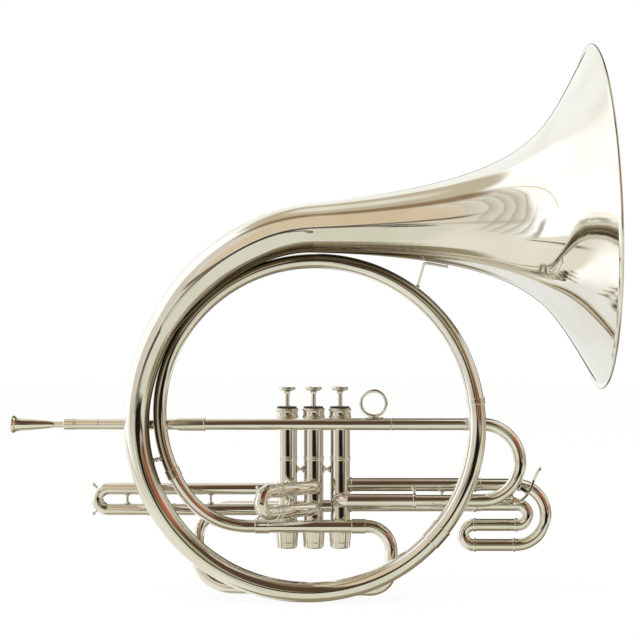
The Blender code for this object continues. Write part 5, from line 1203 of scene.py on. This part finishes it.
# %% First slide
SLIDE_WALL, LEG_WALL, RUNNING, SEAT = 0.6, 0.5, 0.35, 0.4
FIRST_RADIUS, FIRST_Z, FIRST_ENDS = 5.6, (-9.9, -29.2), (-153.4, -153.7)
FIRST_LEG_END, FIRST_CENTRE, FIRST_STAYS = -93.4, -192.0, (-96.0, -174.0)


def nub(centre, way, start, head=1.75, reach=5.2):
    """A pull nub: a neck with a rounded head."""
    corners = [(start - 1.0, 0.0), (start - 1.0, 1.6), (start + 0.5, 1.15), (start + reach - 2.6, 0.95),
               (start + reach - 2.2, head), (start + reach - 0.8, head), (start + reach, head * 0.55),
               (start + reach, 0.0)]
    return turned(centre, way, corners, 32, edge=0.4, closed=False, up=LEANING, most=1.0)


def make_first_slide():
    """Two long outer tubes to the left, and the bow with its legs, stay and nubs."""
    x, (top, bottom), r = VALVE_X[0], FIRST_Z, FIRST_RADIUS
    end, start = FIRST_ENDS
    grids = []
    for z in FIRST_Z:
        line = straight((x - PORT, 0, z), (end, 0, z), r)
        length = distances(line[0])[-1]
        bands = [(length - 2.2, length, 0.6)]
        if z == bottom:
            bands = ferrule(length - 24.0, length - 4.0, 0.35, 0.25, 0.9) + bands
        grids.append(seated(tube(line, SLIDE_WALL, up=Z_AXIS, most=ROW_STEP, bands=bands), x, -X_AXIS))
    add_piece("first_slide_guide_tubes", grids, replaces=["first_slide_outer_tubes"])
    seats = (r - SEAT, r - SEAT)
    fixed, moving = (spool((place, 0, top), (place, 0, bottom), seats) for place in FIRST_STAYS)
    add_piece("first_slide_fixed_stay", [fixed], closed=False)
    spread, leg = (top - bottom) / 2, r - SLIDE_WALL - RUNNING
    far = FIRST_CENTRE - spread
    bow = routed([(start, 0, top), (far, 0, top), (far, 0, bottom), (start, 0, bottom)], [spread] * 2, r)
    length = distances(bow[0])[-1]
    grids = [tube(bow, r - leg + LEG_WALL, bands=[(0.0, 1.3, 0.35), (length - 1.3, length, 0.35)])]
    legs = [straight((FIRST_LEG_END, 0, z), (start, 0, z), leg) for z in FIRST_Z]
    grids += [tube(line, LEG_WALL, up=Z_AXIS) for line in legs]
    add_piece("first_slide_bow_tube", grids, "first_slide", replaces=["first_slide_bow"])
    middle = (FIRST_CENTRE, 0, (top + bottom) / 2)
    nubs = [nub(middle, unit((-1.0, 0, side)), spread + r) for side in (1, -1)]
    add_piece("first_slide_trim", [*nubs, moving], "first_slide", closed=False)
    return length


print("the first slide's bow is", round(make_first_slide()), "mm round")

# %% [markdown]
# The second slide is the short one. Its outer tubes leave the middle valve and swing round to point
# half left and towards the player, so both are bent lines in a slanted plane.

# %% Second slide
SWING = math.radians(44.4)
SECOND_WAY = np.array((-math.sin(SWING), -math.cos(SWING), 0.0))
SECOND_Z, SECOND_RADIUS, SECOND_BEND = (-7.0, -27.0), 6.3, 9.0
SECOND_CORNER, SECOND_REACH, SECOND_STAY, SECOND_BOW, SECOND_LEG = 8.0, 45.0, 15.0, 12.0, 30.0


def make_second_slide():
    """Elbows on the front of the middle casing, and the short bow."""
    r, grids, ends = SECOND_RADIUS, [], []
    for z in SECOND_Z:
        corner = np.array((0.0, -(CASING_RADIUS + SECOND_CORNER), z))
        end = corner + SECOND_WAY * SECOND_REACH
        line = routed([(0.0, -PORT, z), corner, end], [SECOND_BEND], r)
        length = distances(line[0])[-1]
        grid = tube(line, SLIDE_WALL, up=Z_AXIS, most=ROW_STEP,
                    bands=[(length - 3.0, length - 1.4, 0.75), (length - 1.4, length, 0.5)])
        near = (grid[..., 1] > -2 * CASING_RADIUS)[..., None]
        grids.append(np.where(near, seated(grid, 0.0, -Y_AXIS), grid))
        ends.append(end)
        grids.append(collar((0.0, -COLLAR_REACH, z), -Y_AXIS, r))
    add_piece("second_slide_guide_tubes", grids, replaces=["second_slide_outer_tubes"])
    middles = [end - SECOND_WAY * SECOND_STAY for end in ends]
    add_piece("second_slide_fixed_stay", [spool(*middles, (r - SEAT, r - SEAT), foot=2.4)], closed=False)
    spread = (SECOND_Z[0] - SECOND_Z[1]) / 2
    starts = [end + SECOND_WAY * JOINT_GAP for end in ends]
    fars = [start + SECOND_WAY * (SECOND_BOW + spread) for start in starts]
    leg = r - SLIDE_WALL - RUNNING
    side = np.cross(Z_AXIS, SECOND_WAY)
    bow = routed([starts[0], fars[0], fars[1], starts[1]], [spread] * 2, r)
    length = distances(bow[0])[-1]
    grids = [tube(bow, r - leg + LEG_WALL, up=side, bands=ferrule(0.0, 5.0, 0.3, 0.3, 1.0)
                  + ferrule(length - 5.0, length, 0.3, 0.3, 1.0))]
    grids += [tube(straight(start - SECOND_WAY * SECOND_LEG, start, leg), LEG_WALL, up=Z_AXIS)
              for start in starts]
    add_piece("second_slide_bow_tube", grids, "second_slide", replaces=["second_slide_bow"])
    middle = (starts[0] + starts[1]) / 2 + SECOND_WAY * SECOND_BOW
    nubs = [nub(middle, unit(SECOND_WAY + Z_AXIS * lift), spread + r) for lift in (1, -1)]
    add_piece("second_slide_nubs", nubs, "second_slide", closed=False)


make_second_slide()
print("second slide points", np.round(SECOND_WAY, 2))

# %% [markdown]
# The third slide has to be long, so its bow folds back on itself below the legs. One line with six
# bends draws it, and ferrules mark where the maker joined its straights to its bends.

# %% Third slide
THIRD_RADIUS, WRAP_RADIUS, THIRD_Z = 6.15, 5.6, (-6.2, -25.0)
THIRD_END, WRAP_START, THIRD_LEG_END, THIRD_STAYS = 152.0, 152.3, 92.0, (120.0, 93.7)
WRAP_RIGHT, WRAP_LEFT, WRAP_TUCK = 190.5, 149.5, 1.8


def make_third_slide():
    """Two outer tubes to the right, and the folded wrap with its legs."""
    x, (top, bottom), r = VALVE_X[2], THIRD_Z, THIRD_RADIUS
    grids = []
    for z in THIRD_Z:
        line = straight((x + PORT, 0, z), (THIRD_END, 0, z), r)
        length = distances(line[0])[-1]
        grid = tube(line, SLIDE_WALL, up=Z_AXIS, most=ROW_STEP, bands=[(length - 2.4, length, 0.65)])
        grids.append(seated(grid, x, X_AXIS))
        grids.append(collar((x + COLLAR_REACH, 0, z), X_AXIS, r, width=1.6, slope=0.8))
    add_piece("third_slide_guide_tubes", grids, replaces=["third_slide_outer_tubes"])
    right, left = THIRD_STAYS
    stays = [spool((right, 0, top), (right, 0, bottom), (r - SEAT, r - SEAT)),
             spool((left, 0, top), (left, FRONT_Y, INLET_Z), (r - SEAT, 6.8), foot=2.2)]
    add_piece("third_slide_fixed_stays", stays, closed=False)
    inner, outer = 2 * bottom - top, 3 * bottom - 2 * top
    small, big = (top - bottom) / 2, (top - outer) / 2
    near, far, left = WRAP_RIGHT + small, WRAP_RIGHT + big - WRAP_TUCK, WRAP_LEFT - small
    corners = [(WRAP_START, top), (far, top), (far, outer), (left, outer), (left, inner), (near, inner),
               (near, bottom), (WRAP_START, bottom)]
    wrap = routed([(x, 0, z) for x, z in corners], [big, big] + [small] * 4, WRAP_RADIUS)
    s, heights = distances(wrap[0]), wrap[0][:, 2]
    bands = ferrule(0.0, 4.0, 0.3, 0.25, 0.9)
    for i in np.flatnonzero((np.diff(s) > 12.0) & (np.abs(np.diff(heights)) < 0.1)):
        if heights[i] < bottom - small:
            bands += [(s[i], s[i] + 2.4, 0.65), (s[i + 1] - 2.4, s[i + 1], 0.65)]
    bands += ferrule(s[-1] - 4.0, s[-1], 0.3, 0.25, 0.9)
    leg = r - SLIDE_WALL - RUNNING
    grids = [tube(wrap, WRAP_RADIUS - leg + LEG_WALL, bands=bands)]
    legs = [straight((THIRD_LEG_END, 0, z), (WRAP_START, 0, z), leg) for z in THIRD_Z]
    grids += [tube(line, LEG_WALL, up=Z_AXIS) for line in legs]
    add_piece("third_slide_wrap_tube", grids, "third_slide", replaces=["third_slide_wrap"])
    return s[-1]


print("the wrap adds", round(make_third_slide()), "mm")

# %% [markdown]
# A ring for the little finger stands on the leadpipe. It is wire bent round a bar and soldered shut,
# a torus. Its foot is a pressed saddle that hugs the pipe: long and thin, with a hump in the middle
# that follows a bell curve and thins out to both ends.

# %% Ring for the little finger
RING_X, RING_RADIUS, RING_WIRE = 55.7, 11.6, 1.5
FOOT_HALF, FOOT_WIDE, FOOT_HUG = 9.5, 3.3, 5.9
HUMP, HUMP_WIDTH = 1.9, 0.36


def make_ring():
    """A torus on a foot.

    The foot's half width and rise shrink with the root of an ellipse towards its ends, its hump is e to
    the power of minus the squared share of its width, and it drops at its sides as the pipe does.
    """
    seat = LEAD_Z + float(lead_radius(RING_X)) + 0.3
    centre = np.array((RING_X, FRONT_Y, seat + 2.0 + RING_RADIUS))
    a = np.linspace(0.0, 2 * math.pi, 97)[:-1, None]
    b = np.linspace(0.0, 2 * math.pi, 28, endpoint=False)[None, :]
    reach = RING_RADIUS + RING_WIRE * np.cos(b)
    ring = centre + np.stack((reach * np.sin(a), RING_WIRE * np.sin(b) + 0 * a, reach * np.cos(a)), axis=-1)
    u = np.linspace(-1.0, 1.0, 60)[:, None]
    v = np.linspace(0.0, 2 * math.pi, 48, endpoint=False)[None, :]
    end = np.sqrt(np.clip(1 - u ** 2, 0.0, 1.0))
    taper = np.abs(end) ** 0.5
    wide = FOOT_WIDE * taper * np.cos(v)
    hump = 0.5 + HUMP * np.exp(-(u / HUMP_WIDTH) ** 2)
    rise = np.where(np.sin(v) > 0, hump * np.sin(v), 0.25 * np.sin(v)) * taper
    drop = FOOT_HUG - np.sqrt(FOOT_HUG ** 2 - wide ** 2)
    foot = np.stack((RING_X + FOOT_HALF * u + 0 * v, FRONT_Y + wide, seat + 0.25 - drop + rise), axis=-1)
    add_piece("pinky_ring_wire", [ring], replaces=["pinky_ring"])
    add_piece("pinky_ring_foot", [foot], closed=False)
    return 2 * RING_RADIUS


print("the ring is", make_ring(), "mm across its wire's middle")

# %% [markdown]
# Two fittings tie the big turns together. A bent wire lies along the bell and stands on the coil,
# flared where it is soldered. Between the left limbs sits a turned spool with a ball at its middle.

# %% Bell brace and limb stay
BRACE_PLACES, BRACE_TURN, BRACE_BEND, BRACE_RADIUS = (123.3, 101.3), -50.0, 3.0, 1.2
BRACE_OFF, LIMB_OFF = 1.5, 8.25
STAY_TURNS = (-193.0, 167.0)


def make_brace():
    """The wire brace: a foot under the bell, a tight bend, and a leg down to the coil."""
    foot = []
    for along_bell in BRACE_PLACES:
        before, depth, after = BELL_LENGTH - along_bell + np.array((-1.0, 0.0, 1.0))
        slope = math.atan(float(flare(before) - flare(after)) / 2)
        drop = float(flare(depth)) + BRACE_OFF / math.cos(slope)
        foot.append(BELL_START + BELL_WAY * along_bell - Z_AXIS * drop)
    limb = coil_point(BRACE_TURN)
    reach = np.linalg.norm(limb - foot[1]) - LIMB_OFF
    line = routed([foot[0], foot[1], foot[1] + unit(limb - foot[1]) * reach], [BRACE_BEND], BRACE_RADIUS)
    length = distances(line[0])[-1]
    corners = [(0, -BRACE_RADIUS), (0, -0.1), (0.8, 0.0), (length - 2.2, 0.0), (length - 0.8, 1.1),
               (length, 1.3), (length, -BRACE_RADIUS)]
    outline = filled(rounded(corners, 0.4, False), distances(line[0]), False)
    add_piece("bell_brace_wire", [swept(line, outline, 28)], replaces=["bell_brace"], closed=False)
    return length


def make_limb_stay():
    """The stay with a ball between the limbs of the coil."""
    inner, outer = (coil_point(turn) for turn in STAY_TURNS)
    seats = [float(np.interp(turn, BORE_TURNS, BORE_RADII)) - 0.2 for turn in STAY_TURNS]
    grid = spool(inner, outer, seats, foot=3.0, waist=1.3, bulge=2.3)
    add_piece("coil_limb_stay_ball", [grid], replaces=["coil_limb_stay"], closed=False)


print("the brace takes", round(make_brace()), "mm of wire")
make_limb_stay()

# %% [markdown]
# Inside each casing hide the piston, its spring and the guide bar. The CAD's own shapes serve
# there, and only need their finish.

# %% Finish of the CAD pieces that stay
for name, cad in frame["nodes"].items():
    if not cad.hide_render:
        slot = next(p["material_slot"] for p in frame["record"]["subparts"] if p["node"] == name)
        cad.data.materials.clear()
        cad.data.materials.append(FINISH.get(slot, ALLOY))
print("CAD nodes kept:", ", ".join(n for n, o in frame["nodes"].items() if not o.hide_render))

# %% [markdown]
# Polished metal has almost no colour of its own: it shows the room. The room here is a bright
# tent on the left, folds of cloth beside it, a brown wall in front on the right, a dark table edge
# just below eye level and a pale table under it. Each is a patch on the sky, given by azimuth
# (from the camera's side towards the bell) and elevation (up from the horizon). A tube that lies
# along the picture shows the elevations as stripes, and one that stands shows the azimuths, so the
# patches could be placed one by one until each stripe fell where it should.

# %% The room's patches and folds
ROOM_BASE = "B0A693"
# colour; azimuth from, to, soft from, soft to; elevation from, to, softness; slope up per degree
ROOM = (
    ("D6D3C8", (-190, 66, 1, 9), (-95, -8, 4), 0.0),
    ("8F876E", (-195, 195, 1, 1), (-96, -68, 5), 0.0),
    ("C9C9BB", (-22, 66, 4, 9), (-66, -8, 4), 0.0),
    ("FFFFFF", (-134, -60, 6, 10), (-34, 60, 6), 0.0),
    ("E6E8E6", (-185, -130, 1, 8), (-10, 62, 6), 0.0),
    ("D8D6CB", (-116, -30, 2, 9), (-62, -20, 0.8), -0.36),
    ("D9DBD9", (-185, -122, 1, 4), (-62, -9, 4), 0.0),
    ("D2CCC2", (-62, -6, 6, 2), (-4, 52, 4), 0.0),
    ("C8B89E", (-27, -5, 6, 2), (4, 49, 5), 0.0),
    ("B5AC97", (-170, -8, 9, 4), (61, 77, 4), 0.0),
    ("857055", (-56, -12, 8, 3), (49, 62, 4), 0.0),
    ("D6D4C8", (-175, 0, 9, 9), (76, 95, 4), 0.0),
    ("8F8169", (88, 185, 8, 1), (-6, 60, 6), 0.0),
    ("7A6854", (-8, 150, 3, 12), (36, 86, 5), 0.0),
    ("B9A898", (46, 96, 6, 6), (-3, 32, 4), 0.0),
    ("4E3C2E", (-5, 60, 1.2, 12), (-1, 62, 2), 0.0),
    ("96613F", (28, 50, 5, 6), (1, 21, 4), 0.35),
    ("B8574C", (45, 60, 4, 5), (17, 27, 4), 0.2),
    ("9A997C", (2, 24, 2, 4), (1, 14, 3), 0.55),
    ("C9C8B4", (44, 100, 5, 6), (-32, -3, 2), 0.0),
    ("7F8268", (62, 94, 7, 6), (-32, -18, 5), 0.0),
    ("A39684", (84, 136, 6, 6), (-11, 9, 3), 0.0),
    ("F2F2F2", (112, 152, 6, 6), (-29, -11, 4), 0.0),
    ("38332D", (98, 185, 9, 1), (-46, -30, 4), 0.0),
    ("DAD6CA", (84, 126, 6, 5), (10, 60, 5), 0.0),
    ("3A3129", (140, 185, 5, 1), (-12, 9, 4), 0.0),
    ("4A4034", (128, 185, 6, 1), (9, 70, 5), 0.0),
    ("8A806B", (66, 185, 9, 1), (-95, -46, 5), 0.0),
    ("7D755C", (-195, -172, 1, 3), (-75, -24, 5), 0.0),
    ("5E574C", (-30, -6, 6, 3), (2.4, 6.6, 1.4), -0.6),
    ("5A5048", (-17, -6, 2, 3), (-6.5, -1.5, 1.0), 0.0),
    ("2A2622", (-17, -12.5, 1.5, 0.8), (-12, -8, 1.0), 0.0),
    ("191513", (-7, 40, 1.5, 3), (-11, -1.5, 1.2), -0.14),
    ("4A3B38", (36, 62, 4, 6), (-8, -3, 2), 0.2),
    ("403A33", (-112, -64, 4, 6), (-19.9, -18.9, 0.5), -0.36),
)
# colour, azimuth at the horizon, lean and bow per degree of elevation, half width, lowest and highest
FOLDS = (
    ("A6A79F", (-74, -0.30, 0.0, 2.4), (-24, -4)),
    ("D8CBB0", (-92, 0.55, 0.0, 0.9), (4, 46)),
    ("5A4A45", (-4.6, 0.02, 0.0, 0.8), (-27, -6)),
)
# the hanging cloth: azimuth and elevation as in a patch, then its repeated fold as in a fold
CLOTH_DARK, CLOTH_ACROSS, CLOTH_UP = "A9AAA3", (-66.0, -30.0, 6.0, 6.0), (-24.0, 50.0, 5.0, 8.0)
CLOTH_EDGE, CLOTH_LEAN, CLOTH_BOW, CLOTH_PERIOD = -47.0, -0.36, 0.004, 8.5
print("the room has", len(ROOM), "patches and", len(FOLDS), "single folds")

# %% [markdown]
# The world's shader turns each direction into azimuth and elevation, in degrees, and lays the patches
# one on another, each with soft edges. A little noise moves all edges, since no cloth hangs straight.
# A fold is a thin line whose azimuth is a parabola of the elevation. The hanging cloth repeats one:
# its shade is the square of the fraction of a period, so each fold is dark on one side. Only glossy
# rays see the room. The camera sees white, and plain surfaces get a plain even light.

# %% The room's shader
ROOM_STRENGTH, PLAIN_STRENGTH, PLAIN_LIGHT = 1.3, 0.95, "FFFDF9"
WOBBLE_SCALE, WOBBLE_DEGREES, WOBBLE_LIFT = 2.6, 2.4, -0.35
WHITE = (1.0, 1.0, 1.0, 1.0)


def window(tree, value, low, high, soft_low, soft_high):
    """One between two values and zero outside, with a smooth step at each."""
    rise = ramp(tree, value, low - soft_low, low + soft_low)
    fall = ramp(tree, value, high - soft_high, high + soft_high, 1.0, 0.0)
    return math_node(tree, "MULTIPLY", rise, fall)


def parabola(tree, value, start, lean, bow):
    """start + lean * value + bow * value squared."""
    bend = math_node(tree, "ADD", math_node(tree, "MULTIPLY", value, bow), lean)
    return math_node(tree, "ADD", math_node(tree, "MULTIPLY", value, bend), start)


def make_world():
    """Patches and folds laid one on another over the base colour, for glossy rays alone."""
    world = bpy.data.worlds.new("studio")
    bpy.context.scene.world = world
    world.use_nodes = True
    tree = world.node_tree
    tree.nodes.clear()
    toward = node(tree, "ShaderNodeTexCoord").outputs["Generated"]
    axes = node(tree, "ShaderNodeSeparateXYZ", Vector=toward).outputs
    wobble = node(tree, "ShaderNodeTexNoise", Vector=toward, Scale=WOBBLE_SCALE, Detail=2.0).outputs[0]
    wobble = ramp(tree, wobble, 0.2, 0.8, -WOBBLE_DEGREES, WOBBLE_DEGREES)
    turn = math_node(tree, "ARCTAN2", axes[0], math_node(tree, "MULTIPLY", axes[1], -1.0))
    azimuth = math_node(tree, "ADD", math_node(tree, "MULTIPLY", turn, 180 / math.pi), wobble)
    lift = math_node(tree, "MULTIPLY", math_node(tree, "ARCSINE", axes[2]), 180 / math.pi)
    elevation = math_node(tree, "ADD", lift, math_node(tree, "MULTIPLY", wobble, WOBBLE_LIFT))
    colour = linear(ROOM_BASE)
    for code, (left, right, soft_left, soft_right), (low, high, soft), slope in ROOM:
        across = window(tree, azimuth, left, right, soft_left, soft_right)
        height = elevation
        if slope:
            aside = math_node(tree, "SUBTRACT", azimuth, (left + right) / 2)
            drop = math_node(tree, "MULTIPLY", aside, slope)
            height = math_node(tree, "SUBTRACT", elevation, drop)
        inside = math_node(tree, "MULTIPLY", across, window(tree, height, low, high, soft, soft))
        colour = mixed(tree, inside, colour, code)
    edge = parabola(tree, elevation, CLOTH_EDGE, CLOTH_LEAN, CLOTH_BOW)
    steps = math_node(tree, "DIVIDE", math_node(tree, "SUBTRACT", azimuth, edge), CLOTH_PERIOD)
    shade = math_node(tree, "POWER", math_node(tree, "FRACT", steps), 2.0)
    cloth = math_node(tree, "MULTIPLY", window(tree, azimuth, *CLOTH_ACROSS),
                      window(tree, elevation, *CLOTH_UP))
    colour = mixed(tree, math_node(tree, "MULTIPLY", cloth, shade), colour, CLOTH_DARK)
    for code, (start, lean, bow, half), (low, high) in FOLDS:
        middle = parabola(tree, elevation, start, lean, bow)
        aside = math_node(tree, "ABSOLUTE", math_node(tree, "SUBTRACT", azimuth, middle))
        line = ramp(tree, aside, half * 0.4, half * 1.6, 1.0, 0.0)
        inside = math_node(tree, "MULTIPLY", line, window(tree, elevation, low, high, 4.0, 4.0))
        colour = mixed(tree, inside, colour, code)
    path = node(tree, "ShaderNodeLightPath").outputs
    room = node(tree, "ShaderNodeBackground", Color=colour, Strength=ROOM_STRENGTH)
    plain = node(tree, "ShaderNodeBackground", Color=linear(PLAIN_LIGHT), Strength=PLAIN_STRENGTH)
    white = node(tree, "ShaderNodeBackground", Color=WHITE, Strength=1.0)
    seen = node(tree, "ShaderNodeMixShader", i0=path["Is Glossy Ray"], i1=plain.outputs[0],
                i2=room.outputs[0])
    clear = math_node(tree, "MAXIMUM", path["Is Camera Ray"], path["Is Transmission Ray"])
    seen = node(tree, "ShaderNodeMixShader", i0=clear, i1=seen.outputs[0], i2=white.outputs[0])
    node(tree, "ShaderNodeOutputWorld", Surface=seen.outputs[0])
    return len(tree.nodes)


print("the room takes", make_world(), "nodes")

# %% [markdown]
# The floor is a plain pale disc under the lowest point, paper in a photographer's room. To the
# camera it is mostly white light with some of its own shading kept, so the horn's shadow still falls
# on it. One soft lamp overhead gives that shadow its direction. These places are in metres.

# %% Floor and lamp
FLOOR_RADIUS, FLOOR_SIDES, FLOOR_GAP, FLOOR_WHITE = 6.0, 96, 0.0004, 0.9
LAMP_SIZE, LAMP_WATTS, LAMP_PLACE = 1.4, 22.0, (-0.7, -1.1, 1.9)
LAMP_TILT, LAMP_TURN = math.radians(32), math.radians(-30)


def make_stage():
    """A round floor just below the horn, and a soft square lamp above it on the left."""
    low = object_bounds()[0][2]
    a = np.linspace(0.0, 2 * math.pi, FLOOR_SIDES, endpoint=False)
    height = np.full(FLOOR_SIDES, low - FLOOR_GAP)
    ring = np.stack((FLOOR_RADIUS * np.cos(a), FLOOR_RADIUS * np.sin(a), height), axis=1)
    mesh = bpy.data.meshes.new("floor")
    mesh.from_pydata(ring, [], [list(range(FLOOR_SIDES))])
    floor = bpy.data.objects.new("floor", mesh)
    bpy.context.scene.collection.objects.link(floor)
    floor.visible_glossy = False
    material = bpy.data.materials.new("floor_paper")
    material.use_nodes = True
    tree = material.node_tree
    tree.nodes.clear()
    paper = node(tree, "ShaderNodeBsdfDiffuse", Color=linear("FAF9F6"))
    glow = node(tree, "ShaderNodeEmission", Color=WHITE, Strength=1.0)
    path = node(tree, "ShaderNodeLightPath").outputs
    share = math_node(tree, "MULTIPLY", path["Is Camera Ray"], FLOOR_WHITE)
    both = node(tree, "ShaderNodeMixShader", i0=share, i1=paper.outputs[0], i2=glow.outputs[0])
    node(tree, "ShaderNodeOutputMaterial", Surface=both.outputs[0])
    mesh.materials.append(material)
    floor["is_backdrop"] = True
    data = bpy.data.lights.new("softbox", "AREA")
    data.shape, data.size, data.energy = "SQUARE", LAMP_SIZE, LAMP_WATTS
    lamp = bpy.data.objects.new("softbox", data)
    lamp.location = LAMP_PLACE
    lamp.rotation_euler = (LAMP_TILT, 0, LAMP_TURN)
    lamp.visible_glossy = False
    bpy.context.scene.collection.objects.link(lamp)
    return low


print("the floor lies at", round(make_stage() / MM, 1), "mm")
bpy.context.scene.view_settings.view_transform = "Standard"
